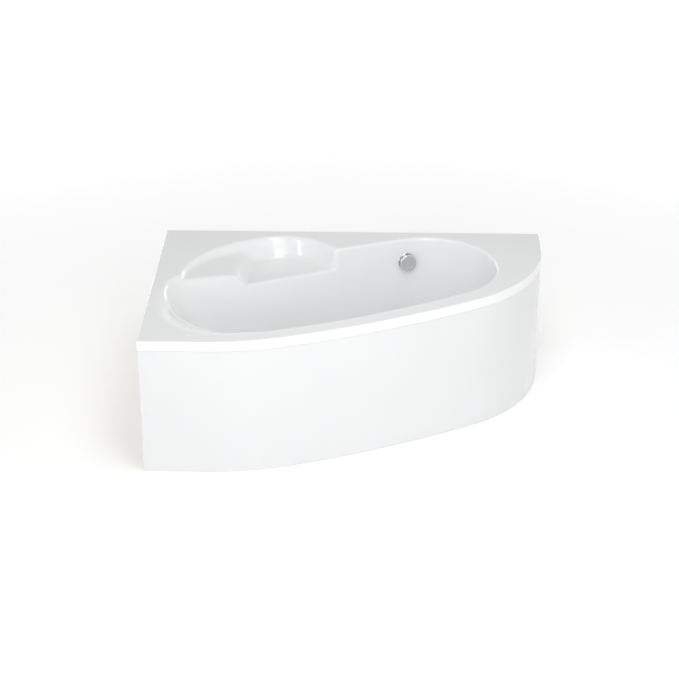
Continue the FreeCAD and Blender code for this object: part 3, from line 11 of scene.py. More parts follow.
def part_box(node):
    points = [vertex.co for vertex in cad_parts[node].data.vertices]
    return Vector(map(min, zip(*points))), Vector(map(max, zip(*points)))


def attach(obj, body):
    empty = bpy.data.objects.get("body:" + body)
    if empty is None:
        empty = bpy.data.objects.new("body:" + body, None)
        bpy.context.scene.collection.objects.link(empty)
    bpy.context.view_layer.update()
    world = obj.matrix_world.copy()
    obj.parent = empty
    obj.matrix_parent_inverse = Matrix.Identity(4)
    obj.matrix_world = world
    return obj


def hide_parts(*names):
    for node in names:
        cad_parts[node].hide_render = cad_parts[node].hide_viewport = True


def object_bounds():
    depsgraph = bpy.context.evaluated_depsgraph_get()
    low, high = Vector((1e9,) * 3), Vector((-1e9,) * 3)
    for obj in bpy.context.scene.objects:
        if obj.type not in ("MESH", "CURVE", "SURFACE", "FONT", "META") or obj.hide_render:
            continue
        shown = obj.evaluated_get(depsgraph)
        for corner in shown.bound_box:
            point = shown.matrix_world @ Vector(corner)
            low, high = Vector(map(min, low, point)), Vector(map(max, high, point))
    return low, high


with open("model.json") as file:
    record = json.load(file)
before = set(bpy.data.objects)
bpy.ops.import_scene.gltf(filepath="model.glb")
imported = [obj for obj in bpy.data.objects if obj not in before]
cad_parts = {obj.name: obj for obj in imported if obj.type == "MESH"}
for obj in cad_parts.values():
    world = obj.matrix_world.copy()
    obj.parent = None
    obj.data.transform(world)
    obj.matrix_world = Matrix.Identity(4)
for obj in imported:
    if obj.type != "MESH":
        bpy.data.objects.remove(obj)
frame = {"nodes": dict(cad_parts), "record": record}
bpy.context.view_layer.update()
cad_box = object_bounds()

bl_info = {
    "name": "Corner Bathtub",
    "version": (1, 0, 0),
    "blender": (4, 5, 0),
    "location": "View3D > Sidebar > Bathtub",
    "description": "Moulded corner bathtub with its panel, frame, feet, waste and overflow",
    "category": "Object",
}

TURN = 2 * math.pi
UP = Vector((0, 0, 1))
TINY = 1e-4          # metres between the two points that a slope is read from
FAR = 1.0            # metres, for places that are out of a form's reach

# Corner circles of the hollows: X, Y and radius. Wide sweeps join them.
BASIN_TOP = [(-.596, -.030, .103), (-.344, -.186, .220), (.295, .173, .270)]
BASIN_FLOOR = [(-.290, -.060, .120), (-.230, -.160, .150), (.280, .170, .200)]
BASIN_SWEEPS = [.357, 3.020, 9.500]
RECESS_TOP = [(-.386, .073, .262), (-.150, .050, .244), (-.273, .222, .220)]
RECESS_SWEEPS = [1.000, 2.080, .457]
SEAT_TOP = [(-.300, .060, .192), (-.148, .052, .246), (-.273, .224, .221), (-.418, .334, .055)]
SEAT_FOOT = [(-.318, .100, .085), (-.040, .170, .085), (-.250, .264, .150), (-.318, .306, .085)]
SEAT_SWEEPS = [3.000, 2.080, 3.200, 6.000]
HEADREST = (-.449, -.157, .266)
DRAIN = Vector((.228, .200, .117))

# The seat's own hollow is a little wider at its back and right, where the recess's wall bounds it
SEAT_WIDER = [(0, 0, 0), (0, 0, .004), (0, 0, .004), (0, .003, 0)]
WIDE_TOP, WIDE_FOOT = [[tuple(np.add(circle, more)) for circle, more in zip(circles, SEAT_WIDER)]
                       for circles in (SEAT_TOP, SEAT_FOOT)]

# The rim's curved front: its end circles and the sweep between them
FRONT_ROUNDS = [(-.508, .390, .890), (.190, .358, .560)]
FRONT_SWEEP = 3.458

# The overflow's own axes on the basin's wall: across, up the wall, into the basin
OVERFLOW = Matrix((
    (.96126, -.03970, .27276, .220880),
    (.27564, .13840, -.95124, .419107),
    (0, .98958, .14399, .446000),
    (0, 0, 0, 1)))

# Forms of the hollows, in metres
SEAT_ROUND, RECESS_ROUND, HEADREST_ROUND = .016, .014, .010    # where a wall meets its floor
RECESS_TAPER = .020                       # how much tighter its corners get down to its depth
LEDGE_START, LEDGE_RUN = -.650, .200      # X where the ledge starts to fall, and its run
LEDGE_LEAST = .004                        # the ledge's least depth
BLEND_START, BLEND_RUN = -.150, .150      # X where the recess leaves the seat's wall, and its run
HEADREST_FALL, HEADREST_TILT, HEADREST_LEAN = 2.0, .447, .894  # slope, its cosine and its sine
DISH_RADIUS, DISH_ROLL = .045, .002       # shallow dish round the drain
FLAT_RADIUS, FLAT_ROLL, FLAT_REACH = .042, .0025, .06          # flat under the overflow's ring
HOLE_RADIUS, HOLE_CUT, HOLE_EDGE, HOLE_DEPTH = .027, .026, .050, .020

# How finely the tub is drawn
RAY_GAP = .0105                           # metres between profiles along the basin's top
SAMPLE_STEP = .001                        # metres between the places that these are picked from
FINE_SPOTS = ((-.106, .295, .045, .0045), (-.648, .060, .045, .0045),
              (-.360, .185, .130, .0070), (-.570, -.300, .240, .0065))   # X, Y, reach and gap
FLOOR_LEAD, DISH_LEAD = .015, .062        # where profiles start: off the floor's round and the dish
TRACE_STEP, TRACE_MOST = .0025, 900       # a profile's step, and its most steps
AT_RIM, STILL = 2e-5, 2e-6                # metres below the rim and climbed, where a profile ends
WALL_POINTS = 82
PLAIN_GAP, BEND_PULL, BEND_MOST = .011, 2.4, 150               # spacing of a profile's points
DISH_RINGS = (.0260, .0285, .0330, .0380, .0425, .0440, .0450, .0460, .0480, .0520, .0580)
FLOOR_SHARES = (.06, .14, .25, .38, .53, .69, .85)
DECK_SHARES = (.03, .09, .19, .34, .54, .78, 1)
DECK_MARGIN = .004                        # flat strip inside the rim's outer round
SKIRT_SHARES = (.35, 1)
RIM_REACH, HALVINGS = 1.5, 40             # search for the rim's outline along a way in plan


# ------------------------------------------------------------------ sizes and colours

def length(label, value, about, low=0.0):
    return bpy.props.FloatProperty(name=label, description=about, default=value, min=low,
                                   unit="LENGTH", precision=4)


def power(label, value, about, unit="POWER"):
    return bpy.props.FloatProperty(name=label, description=about, default=value, min=0, unit=unit)


def colour(label, value, about):
    return bpy.props.FloatVectorProperty(name=label, description=about, default=value,
                                         min=0, max=1, size=3, subtype="COLOR")


class TubSizes(bpy.types.PropertyGroup):
    """Sizes of the moulded tub."""
    rim_height: length("Rim height", .540, "Room floor to the top of the rim")
    skirt_height: length("Skirt", .038, "Turned down edge of the rim")
    basin_floor: length("Basin floor", .120, "Room floor to the inside of the basin")
    acrylic: length("Wall", .005, "Thickness of the acrylic")
    floor_round: length("Floor round", .070, "Round between the basin's wall and floor")
    rim_round: length("Rim round", .004, "Round on the rim's outer top edge")
    roll: length("Rolled edge", .010, "Round where the rim turns down into the hollows")
    seat_roll: length("Seat edge", .011, "Round on the front edge of the seat and ledge")
    headrest_roll: length("Headrest edge", .011, "Round on the headrest's edges")
    seat_depth: length("Seat depth", .080, "Rim to the seat")
    ledge_shallow: length("Ledge, shallow end", .018, "Rim to the ledge at its left end")
    ledge_deep: length("Ledge, deep end", .036, "Rim to the ledge at its right end")
    recess_depth: length("Recess depth", .055, "Deepest part of the ledge's recess")
    headrest_depth: length("Headrest depth", .020, "Rim to the headrest")


class PanelSizes(bpy.types.PropertyGroup):
    """Sizes of the front panel."""
    setback: length("Setback", .002, "Skirt's face to the panel's face")
    wall: length("Wall", .004, "Thickness of the panel")
    foot: length("Foot gap", .004, "Room floor to the panel")
    top: length("Top", .5005, "Room floor to the panel's top")
    lip: length("Lip", .015, "Depth of the turned in lips")
    returned: length("Return", .020, "Length turned in at each wall")
    edge: length("Edge round", .0012, "Round on the panel's edges")


class FittingSizes(bpy.types.PropertyGroup):
    """Sizes of the overflow, the waste and the feet."""
    knob: length("Knob radius", .034, "Overflow knob")
    knob_scallop: length("Scallop", .014, "Radius of each finger hollow round the knob")
    rosette: length("Rosette radius", .037, "Ring behind the knob")
    cap: length("Plug radius", .030, "Chromed cap of the plug")
    flange: length("Flange radius", .035, "Chromed flange in the basin's floor")
    rod: length("Rod radius", .006, "Threaded rod of a foot")
    pitch: length("Thread pitch", .00175, "Rise of the rod's thread in one turn", .001)
    hose: length("Hose radius", .015, "Overflow hose")
    ridge: length("Hose ridge", .004, "Spacing of the hose's ridges")
    cable: length("Cable thickness", .005, "Sheath of the pull cable")


class Colours(bpy.types.PropertyGroup):
    """Colours of the finishes."""
    acrylic: colour("Tub", (.885, .89, .895), "Moulded sanitary acrylic")
    panel: colour("Panel", (.785, .79, .795), "Acrylic of the front panel")
    laminate: colour("Laminate", (.74, .70, .58), "Glass fibre and resin under the tub")
    chipboard: colour("Chipboard", (.50, .34, .19), "Board under the basin")
    pine: colour("Pine", (.66, .45, .25), "Planed battens under the rim")
    galvanised: colour("Galvanised steel", (.52, .54, .56), "Rails and brackets")
    zinc: colour("Zinc", (.62, .60, .52), "Plated rods, nuts and screws")
    chrome: colour("Chrome", (.80, .81, .83), "Knob, rosette, flange and plug")
    nylon: colour("Nylon", (.78, .77, .72), "Foot pads")
    rubber: colour("Rubber", (.035, .035, .038), "Seals")
    waste: colour("Waste plastic", (.72, .73, .74), "Trap and pipes")
    black: colour("Black plastic", (.045, .046, .05), "Nuts and inner parts")
    hose: colour("Hose", (.42, .43, .45), "Overflow hose")
    brass: colour("Brass", (.60, .44, .20), "Cable's barrel")
    sheath: colour("Cable sheath", (.05, .05, .055), "Pull cable")
    backdrop: colour("Studio", (.90, .90, .90), "Floor and backdrop")


class StudioSizes(bpy.types.PropertyGroup):
    """Strength of the studio's lights."""
    ambient: power("Ambient", .52, "Light from overhead, as a share of the horizon's", "NONE")
    boom: power("Boom light", 30, "Power of the long softbox overhead")
    front: power("Front light", 30, "Power of the front softbox")
    window: power("Window light", 19, "Power of the small softbox at the left")
    back: power("Back light", 18, "Power of each low softbox behind")


def sizes(name):
    return getattr(bpy.context.scene, name)


# ------------------------------------------------------------------ mesh helpers

def finish_piece(name, bm, body, slot, stands_for, sharp=math.radians(38), welded=True):
    """Make a bmesh one smooth-shaded piece of the tub that rides on a body."""
    if welded:
        bmesh.ops.remove_doubles(bm, verts=bm.verts, dist=1e-6)
        bmesh.ops.recalc_face_normals(bm, faces=bm.faces)
    for face in bm.faces:
        face.smooth = True
    for edge in bm.edges:
        edge.smooth = len(edge.link_faces) == 2 and edge.calc_face_angle(0) < sharp
    mesh = bpy.data.meshes.new(name)
    bm.to_mesh(mesh)
    bm.free()
    mesh.materials.append(FINISHES[slot])
    piece = bpy.data.objects.new(name, mesh)
    bpy.context.scene.collection.objects.link(piece)
    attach(piece, body)
    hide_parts(*stands_for)


def extrude_rings(bm, rings):
    """Extrude a circle of corners through rings of places, one ring from another."""
    corners = bmesh.ops.create_circle(bm, segments=len(rings[0]), radius=1)["verts"]
    edges = list(bm.edges)
    for count, ring in enumerate(rings):
        if count:
            made = bmesh.ops.extrude_edge_only(bm, edges=edges)["geom"]
            fresh = {item for item in made if isinstance(item, bmesh.types.BMVert)}
            corners = [next(edge.other_vert(corner) for edge in corner.link_edges
                            if edge.other_vert(corner) in fresh) for corner in corners]
            edges = [item for item in made if isinstance(item, bmesh.types.BMEdge)
                     and item.verts[0] in fresh and item.verts[1] in fresh]
        for corner, place in zip(corners, ring):
            corner.co = place


def close_ends(bm):
    bmesh.ops.holes_fill(bm, edges=[edge for edge in bm.edges if edge.is_boundary], sides=0)


def drawn_line(bm, outline):
    """Corners and edges of a line of (radius, height) beside Z."""
    corners = [bm.verts.new((radius, 0, height)) for radius, height in outline]
    return corners + [bm.edges.new(pair) for pair in zip(corners, corners[1:])]


def turned(bm, outline, place, steps):
    """Spin an outline once round Z and weld it, then move all that the mesh holds to a place."""
    bmesh.ops.spin(bm, geom=drawn_line(bm, outline), cent=(0, 0, 0), axis=UP, angle=TURN,
                   steps=steps, use_merge=True, use_duplicate=False)
    bmesh.ops.remove_doubles(bm, verts=bm.verts, dist=1e-6)
    bmesh.ops.transform(bm, matrix=place, verts=bm.verts)


def softened(outline, radius, steps=4):
    """Round every inner corner of an outline, by at most half of the shorter side beside it."""
    soft = [Vector(outline[0])]
    for before, corner, after in zip(outline, outline[1:], outline[2:]):
        before, corner, after = Vector(before), Vector(corner), Vector(after)
        reach = min(radius, (before - corner).length / 2, (after - corner).length / 2)
        start = corner + (before - corner).normalized() * reach
        end = corner + (after - corner).normalized() * reach
        for step in range(steps + 1):
            share = step / steps
            soft.append(start.lerp(corner, share).lerp(corner.lerp(end, share), share))
    return soft + [Vector(outline[-1])]


# ------------------------------------------------------------------ the tub's shape

def hub_of(first, second, wide):
    """Centre of the wide sweep that joins two corner circles."""
    (ax, ay, ar), (bx, by, br) = first, second
    wx, wy = bx - ax, by - ay
    span = np.hypot(wx, wy)
    along = ((wide - ar) ** 2 - (wide - br) ** 2 + span ** 2) / (2 * span)
    out = np.sqrt((wide - ar) ** 2 - along ** 2)
    return ax + (wx * along - wy * out) / span, ay + (wy * along + wx * out) / span


def arc_gap(x, y, centre, radius, start, end):
    """Distance outside one arc, or far inside for places that the arc doesn't face."""
    px, py = x - centre[0], y - centre[1]
    faced = (start[0] * py - start[1] * px >= 0) & (px * end[1] - py * end[0] >= 0)
    return np.where(faced, np.hypot(px, py) - radius, -FAR)


def outline_gap(x, y, circles, sweeps):
    """Distance outside a closed outline of corner circles and wide sweeps."""
    following = circles[1:] + circles[:1]
    hubs = [hub_of(one, two, wide) for one, two, wide in zip(circles, following, sweeps)]
    gap = np.full(np.shape(x), -FAR)
    for i, (one, two, wide) in enumerate(zip(circles, following, sweeps)):
        before, hub = hubs[i - 1], hubs[i]
        arrives = one[0] - before[0], one[1] - before[1]
        leaves = one[0] - hub[0], one[1] - hub[1]
        ends = two[0] - hub[0], two[1] - hub[1]
        gap = np.maximum(gap, arc_gap(x, y, one, one[2], arrives, leaves))
        gap = np.maximum(gap, arc_gap(x, y, hub, wide, leaves, ends))
    return gap


def between(first, second, share):
    """Corner circles at a share of the way from one outline to another."""
    return [tuple(a + (b - a) * share for a, b in zip(one, two)) for one, two in zip(first, second)]


def leaning_gap(x, y, z, circles_at, sweeps):
    """True distance outside a wall that leans, and the sine of its lean."""
    gap = outline_gap(x, y, circles_at(z), sweeps)
    fall = (outline_gap(x, y, circles_at(z + TINY), sweeps) - gap) / TINY
    steep = np.hypot(1, fall)
    return gap / steep, -fall / steep


def inner_corner(wall, floor, lean, radius):
    """Hollow bounded by a wall and a floor, with a round where they meet."""
    a, b = radius + wall, radius + floor
    upright = np.sqrt(np.maximum(1 - lean ** 2, .05))
    away = np.sqrt(np.maximum(a * a + b * b - 2 * a * b * lean, 0)) / upright
    return np.where((a > b * lean) & (b > a * lean), away - radius, np.maximum(wall, floor))


def rolled_edge(first, second, radius):
    """Two hollows joined, with a round on the edge between them."""
    a, b = np.maximum(radius - first, 0), np.maximum(radius - second, 0)
    return np.maximum(radius, np.minimum(first, second)) - np.hypot(a, b)


def solid_gap(places, tub):
    """Distance below the tub's upper face: negative in the air, positive in the acrylic."""
    x, y, z = places
    rim = tub.rim_height
    deep = rim - tub.basin_floor

    def share_down(height, depth):
        return np.clip((rim - height) / depth, -.5, 1.3)

    def basin_at(height):
        share = (rim - height) / deep
        return between(BASIN_TOP, BASIN_FLOOR, share * (.8 + .2 * share))

    def seat_at(height):
        return between(SEAT_TOP, SEAT_FOOT, share_down(height, tub.seat_depth))

    def wide_seat_at(height):
        return between(WIDE_TOP, WIDE_FOOT, share_down(height, tub.seat_depth))

    def recess_at(height):
        taper = RECESS_TAPER * share_down(height, tub.recess_depth)
        return [(cx, cy, radius - taper) for cx, cy, radius in RECESS_TOP]

    wall, lean = leaning_gap(x, y, z, basin_at, BASIN_SWEEPS)
    basin = inner_corner(wall, tub.basin_floor - z, lean, tub.floor_round)

    # the seat and the sloping ledge are the recess's floors
    wall, lean = leaning_gap(x, y, z, wide_seat_at, SEAT_SWEEPS)
    seat = inner_corner(wall, rim - tub.seat_depth - z, lean, SEAT_ROUND)
    fall = tub.ledge_deep - tub.ledge_shallow
    ledge_depth = tub.ledge_shallow + (x - LEDGE_START) * fall / LEDGE_RUN
    ledge = rim - np.clip(ledge_depth, LEDGE_LEAST, tub.recess_depth) - z
    floors = rolled_edge(seat, ledge, tub.seat_roll)

    # its wall is the seat's own at the right, and the wider of both at the left
    recess_wall, lean = leaning_gap(x, y, z, recess_at, RECESS_SWEEPS)
    seat_wall, _ = leaning_gap(x, y, z, seat_at, SEAT_SWEEPS)
    left = np.clip((BLEND_START - x) / BLEND_RUN, 0, 1)
    wide = np.minimum(recess_wall, seat_wall)
    wall = seat_wall + (wide - seat_wall) * left * left * (3 - 2 * left)
    recess = inner_corner(wall, floors, lean, RECESS_ROUND)

    # headrest: a shallow cone round the head end
    hx, hy, hr = HEADREST
    cone = HEADREST_TILT * (np.hypot(x - hx, y - hy) - hr + HEADREST_FALL * (rim - z))
    headrest = inner_corner(cone, rim - tub.headrest_depth - z, HEADREST_LEAN, HEADREST_ROUND)

    # shallow dish round the drain, and the flat that the overflow's ring sits on
    dish = np.maximum(np.hypot(x - DRAIN.x, y - DRAIN.y) - DISH_RADIUS, DRAIN.z - z)
    basin = rolled_edge(basin, dish, DISH_ROLL)
    axes = np.array(OVERFLOW)
    across, rise, out = axes[:3, :3].T @ (places - axes[:3, 3:])
    flat = np.maximum(np.hypot(across, rise) - FLAT_RADIUS, -out)
    basin = rolled_edge(basin, np.where(np.abs(out) < FLAT_REACH, flat, FAR), FLAT_ROLL)

    hollows = rolled_edge(basin, recess, tub.seat_roll)
    open_top = rolled_edge(hollows, rim - z, tub.roll)
    return rolled_edge(open_top, headrest, tub.headrest_roll)


def slope_of(places, tub):
    """The gap and its slope along X, Y and Z."""
    gap = solid_gap(places, tub)
    slope = np.array([(solid_gap(places + TINY * axis, tub) - gap) / TINY
                      for axis in np.eye(3)[:, :, None]])
    return gap, slope


def onto_tub(places, tub, rounds=3):
    """Press places onto the tub's upper face."""
    for _ in range(rounds):
        gap, slope = slope_of(places, tub)
        places = places - slope * gap / np.maximum((slope ** 2).sum(0), .05)
    return places


# ------------------------------------------------------------------ the tub's mesh

def arcs_of(circles, sweeps):
    """Arcs of a closed outline in order: centre, radius, first bearing, angle turned."""
    following = circles[1:] + circles[:1]
    hubs = [hub_of(one, two, wide) for one, two, wide in zip(circles, following, sweeps)]
    arcs = []
    for i, (one, two, wide) in enumerate(zip(circles, following, sweeps)):
        marks = [(hubs[i - 1], one), (hubs[i], one), (hubs[i], two)]
        arrives, leaves, ends = [math.atan2(b[1] - a[1], b[0] - a[0]) for a, b in marks]
        arcs.append((one[:2], one[2], arrives, (leaves - arrives) % TURN))
        arcs.append((hubs[i], wide, leaves, (ends - leaves) % TURN))
    return arcs


def on_arcs(arcs, index, share):
    """Places and outward bearings at shares along the numbered arcs."""
    centres = np.array([arc[0] for arc in arcs])[index].T
    radius, first, swept = (np.array([arc[i] for arc in arcs])[index] for i in (1, 2, 3))
    bearing = first + swept * share
    way = np.array([np.cos(bearing), np.sin(bearing)])
    return centres + radius * way, way


def matched_rays():
    """Places round the basin's floor and top that face each other, closer at the fine spots."""
    floor, top = arcs_of(BASIN_FLOOR, BASIN_SWEEPS), arcs_of(BASIN_TOP, BASIN_SWEEPS)
    index, share = [], []
    for number, (_, radius, _, swept) in enumerate(top):
        steps = max(int(radius * swept / SAMPLE_STEP), 4)
        index += [number] * steps
        share += list((np.arange(steps) + .5) / steps)
    index, share = np.array(index), np.array(share)
    rim, _ = on_arcs(top, index, share)
    apart = np.full(rim.shape[1], RAY_GAP)
    for x, y, reach, gap in FINE_SPOTS:
        close = np.hypot(rim[0] - x, rim[1] - y) / reach
        apart = np.minimum(apart, gap + (apart - gap) * np.clip(close - .6, 0, 1))
    along = np.cumsum(np.hypot(*np.diff(np.c_[rim[:, -1:], rim])) / apart)
    count = int(along[-1])
    picked = np.interp(np.arange(1, count + 1) * along[-1] / count, along, np.arange(len(along)))
    picked = picked.round().astype(int) % len(along)
    low, _ = on_arcs(floor, index[picked], share[picked])
    high, way = on_arcs(top, index[picked], share[picked])
    return low, high, way


def traced_walls(low, high, way, tub):
    """Profiles from the basin's floor up to the flat rim, each along its own way in plan."""
    inward = np.array(DRAIN.xy)[:, None] - low
    reach = np.hypot(*inward)
    inward = inward / reach
    climb = high - low
    rise = np.hypot(*climb)
    facing = np.maximum(-(inward * way).sum(0), .35)
    lead = np.minimum((tub.floor_round + FLOOR_LEAD) / facing, reach - DISH_LEAD)
    start = low + inward * lead

    def plan(u):
        first = start + (low - start) * np.clip(u / lead, 0, 1)
        wall = climb * np.clip((u - lead) / rise, 0, 1)
        return first + wall + way * np.maximum(u - lead - rise, 0)

    def read(u, z):
        def gap(a, b):
            return solid_gap(np.vstack([plan(a), b]), tub)
        here = gap(u, z)
        return here, (gap(u + TINY, z) - here) / TINY, (gap(u, z + TINY) - here) / TINY

    u, z = np.zeros(len(reach)), np.full(len(reach), tub.basin_floor + .001)
    for _ in range(4):
        here, _, tall = read(u, z)
        z = z - here / np.where(np.abs(tall) < .1, -1, tall)
    track, done = [np.array([u, z])], np.zeros(len(u), bool)
    while not done.all() and len(track) < TRACE_MOST:
        here, across, tall = read(u, z)
        size = np.hypot(across, tall)
        new_u, new_z = u - TRACE_STEP * (tall / size), z + TRACE_STEP * (across / size)
        here, across, tall = read(new_u, new_z)
        pull = here / np.maximum(across ** 2 + tall ** 2, .1)
        new_u, new_z = new_u - pull * across, new_z - pull * tall
        done |= (new_z > tub.rim_height - AT_RIM) & (np.abs(new_z - z) < STILL)
        u, z = np.where(done, u, new_u), np.where(done, z, new_z)
        track.append(np.array([u, z]))
    return np.array(track), plan


def spread(track, count):
    """Points along each profile, closer together where it bends."""
    profiles, places = [], []
    for u, z in track.transpose(2, 1, 0):
        moving = np.r_[True, np.hypot(np.diff(u), np.diff(z)) > 1e-5]
        u, z = u[moving], z[moving]
        steps = np.hypot(np.diff(u), np.diff(z))
        run = np.r_[0, np.cumsum(steps)]
        heading = np.unwrap(np.arctan2(np.diff(z), np.diff(u)))
        bend = np.abs(np.gradient(heading)) / steps
        bend = np.convolve(np.pad(bend, 3, mode="edge"), np.ones(7) / 7, mode="valid")
        weight = steps * (1 / PLAIN_GAP + BEND_PULL * np.minimum(bend, BEND_MOST))
        weight = np.r_[0, np.cumsum(weight)]
        profiles.append((run, u, z))
        places.append(np.interp(np.linspace(0, weight[-1], count), weight, run))
    places = np.array(places)
    inner = places[:, 1:-1]
    for _ in range(6):
        inner[:] = (np.roll(inner, 1, 0) + 2 * inner + np.roll(inner, -1, 0)) / 4
    return np.array([[np.interp(at, run, u), np.interp(at, run, z)]
                     for at, (run, u, z) in zip(places, profiles)]).transpose(2, 1, 0)


def rim_gap(x, y):
    """Distance outside the rim's own outline: two straight walls and the curved front."""
    first, last = FRONT_ROUNDS
    hub = hub_of(first, last, FRONT_SWEEP)
    turn, back = [(c[0] - hub[0], c[1] - hub[1]) for c in FRONT_ROUNDS]
    gap = np.maximum.reduce([arc_gap(x, y, first, first[2], (0, -1), turn),
                             arc_gap(x, y, hub, FRONT_SWEEP, turn, back),
                             arc_gap(x, y, last, last[2], back, (1, 0))])
    low, high = cad_box
    gap = np.where(x < first[0], low[1] - y, gap)
    return np.maximum.reduce([gap, low[0] - x, x - high[0], y - high[1]])


def rim_places(start, way):
    """Where each way in plan meets the rim's outline, and the way inwards there."""
    near, far = np.zeros(start.shape[1]), np.full(start.shape[1], RIM_REACH)
    for _ in range(HALVINGS):
        middle = (near + far) / 2
        inside = rim_gap(*(start + way * middle)) < 0
        near, far = np.where(inside, middle, near), np.where(inside, far, middle)
    place = start + way * near
    inward = -np.array([(rim_gap(*(place + TINY * axis[:, None])) - rim_gap(*place)) / TINY
                        for axis in np.eye(2)])
    inward = inward / np.hypot(*inward)
    low, high = cad_box
    squares = (((low[0], low[1]), (1, 1)), ((low[0], high[1]), (1, -1)),
               ((high[0], high[1]), (-1, -1)))
    for corner, bisector in squares:
        off = np.array(corner)[:, None] - start
        nearest = np.argmax((off * way).sum(0) / np.hypot(*off))
        place[:, nearest], inward[:, nearest] = corner, bisector
    return place, inward


def tub_rings(tub):
    """Every ring of the tub's upper face, from the drain out over the rim and down the skirt."""
    low, high, way = matched_rays()
    track, plan = traced_walls(low, high, way, tub)
    walls = spread(track, WALL_POINTS)
    drain = np.array(DRAIN.xy)[:, None]
    outwards = plan(walls[0, 0]) - drain
    reach = np.hypot(*outwards)
    outwards = outwards / reach
    dish, floor = DISH_RINGS[-1], np.full(len(reach), tub.basin_floor)
    radii = [*DISH_RINGS, *(dish + (reach - dish) * share for share in FLOOR_SHARES)]
    rings = [np.vstack([drain + outwards * radius, floor]) for radius in radii]
    rings += [np.vstack([plan(u), z]) for u, z in walls]
    rings = [onto_tub(ring, tub) for ring in rings]
    last = rings[-1][:2]
    place, inward = rim_places(last, way)
    flat = np.full(len(reach), tub.rim_height)
    inner_edge = place + inward * (tub.rim_round + DECK_MARGIN)
    for share in DECK_SHARES:
        rings.append(np.vstack([last + (inner_edge - last) * share, flat]))
    for bend in np.linspace(0, math.pi / 2, 5):
        inset, fall = tub.rim_round * (1 - math.sin(bend)), tub.rim_round * (1 - math.cos(bend))
        rings.append(np.vstack([place + inward * inset, flat - fall]))
    for share in SKIRT_SHARES:
        depth = tub.rim_round + (tub.skirt_height - tub.rim_round) * share
        rings.append(np.vstack([place, flat - depth]))
    return rings


def tub_mesh(tub):
    """The tub's upper face, as rings extruded one from another."""
    bm = bmesh.new()
    extrude_rings(bm, [ring.T for ring in tub_rings(tub)])
    bmesh.ops.recalc_face_normals(bm, faces=bm.faces)
    return bm


# ------------------------------------------------------------------ finishes

def wired(tree, node, **sockets):
    """Give each named socket of a node a value, or link it from another node's output."""
    for name, given in sockets.items():
        socket = node.inputs[name.replace("_", " ")]
        if isinstance(given, bpy.types.NodeSocket):
            tree.links.new(given, socket)
        else:
            socket.default_value = given
    return node


def eased(tree, value, start, end, first, last):
    """A smooth step that turns a value between start and end into one between first and last."""
    step = tree.nodes.new("ShaderNodeMapRange")
    step.interpolation_type = "SMOOTHSTEP"
    wired(tree, step, Value=value, From_Min=start, From_Max=end, To_Min=first, To_Max=last)
    return step.outputs["Result"]


FINISHES = {}        # every material by slot, filled by the finishes' operator


class Finish:
    """A procedural material in the making, with patterns on the piece's own coordinates."""

    def __init__(self, name, tint, rough, metal=0.0):
        self.material = bpy.data.materials.new(name)
        self.material.use_nodes = True
        self.tree = self.material.node_tree
        self.shader = self.tree.nodes["Principled BSDF"]
        self.tint, self.bump = tint, None
        self.space = self.node("ShaderNodeTexCoord").outputs["Object"]
        self.shade(Metallic=metal, Base_Color=(*tint, 1), Roughness=rough)

    def node(self, kind, **sockets):
        return wired(self.tree, self.tree.nodes.new(kind), **sockets)

    def shade(self, **sockets):
        wired(self.tree, self.shader, **sockets)
        return self

    def placed(self, stretch, turn=(0, 0, 0)):
        return self.node("ShaderNodeMapping", Scale=stretch, Rotation=turn,
                         Vector=self.space).outputs["Vector"]

    def noise(self, scale, detail, place=None):
        return self.node("ShaderNodeTexNoise", Scale=scale, Detail=detail,
                         Vector=place or self.space).outputs["Fac"]

    def shades(self, scale, place=None):
        """Cells that each have a grey of their own."""
        cells = self.node("ShaderNodeTexVoronoi", Scale=scale, Vector=place or self.space)
        return self.node("ShaderNodeRGBToBW", Color=cells.outputs["Color"]).outputs["Val"]

    def bands(self, scale, place, wobble):
        return self.node("ShaderNodeTexWave", Scale=scale, Distortion=wobble, Detail=3,
                         Vector=place).outputs["Fac"]

    def tints(self, pattern, *stops):
        """Colour by a pattern: each stop is a position and a brightness times the tint."""
        ramp = self.node("ShaderNodeValToRGB", Fac=pattern)
        elements = ramp.color_ramp.elements
        while len(elements) < len(stops):
            elements.new(.5)
        for element, (position, bright) in zip(elements, stops):
            element.position = position
            element.color = (*(part * bright for part in self.tint), 1)
        return self.shade(Base_Color=ramp.outputs["Color"])

    def roughen(self, pattern, low, high):
        """Roughness from low to high by a pattern."""
        spread = self.node("ShaderNodeMapRange", Value=pattern, From_Min=.3, From_Max=.7,
                           To_Min=low, To_Max=high)
        return self.shade(Roughness=spread.outputs["Result"])

    def raise_by(self, pattern, strength, depth):
        """Relief of a real depth in metres. Several reliefs add up."""
        bump = self.node("ShaderNodeBump", Strength=strength, Distance=depth, Height=pattern)
        if self.bump is not None:
            wired(self.tree, bump, Normal=self.bump.outputs["Normal"])
        self.bump = bump
        return self.shade(Normal=bump.outputs["Normal"])


def gloss_acrylic(name, tint):
    """Vacuum-formed sanitary acrylic: glossy, with the faint ripple of the sheet."""
    made = Finish(name, tint, .16)
    made.tints(made.noise(3.2, 2), (.30, .985), (.70, 1.0))
    made.roughen(made.noise(26, 3), .13, .20)
    made.raise_by(made.noise(7.0, 2), .25, .0016)
    made.raise_by(made.noise(900, 1), .04, .00005)
    return made.shade(Coat_Weight=.25, Coat_Roughness=.05).material


def sprayed_laminate(name, tint):
    """Chopped glass fibre in resin, rolled on by hand."""
    made = Finish(name, tint, .5)
    strands = made.bands(78, made.placed((1, 2.2, 1.5), (.4, .3, .9)), 9)
    made.tints(strands, (.0, .92), (.45, 1.0), (.9, 1.06))
    made.roughen(made.noise(40, 4), .34, .62)
    made.raise_by(strands, .5, .0012)
    made.raise_by(made.noise(120, 5), .6, .0014)
    made.raise_by(made.noise(9, 3), .4, .004)
    return made.material


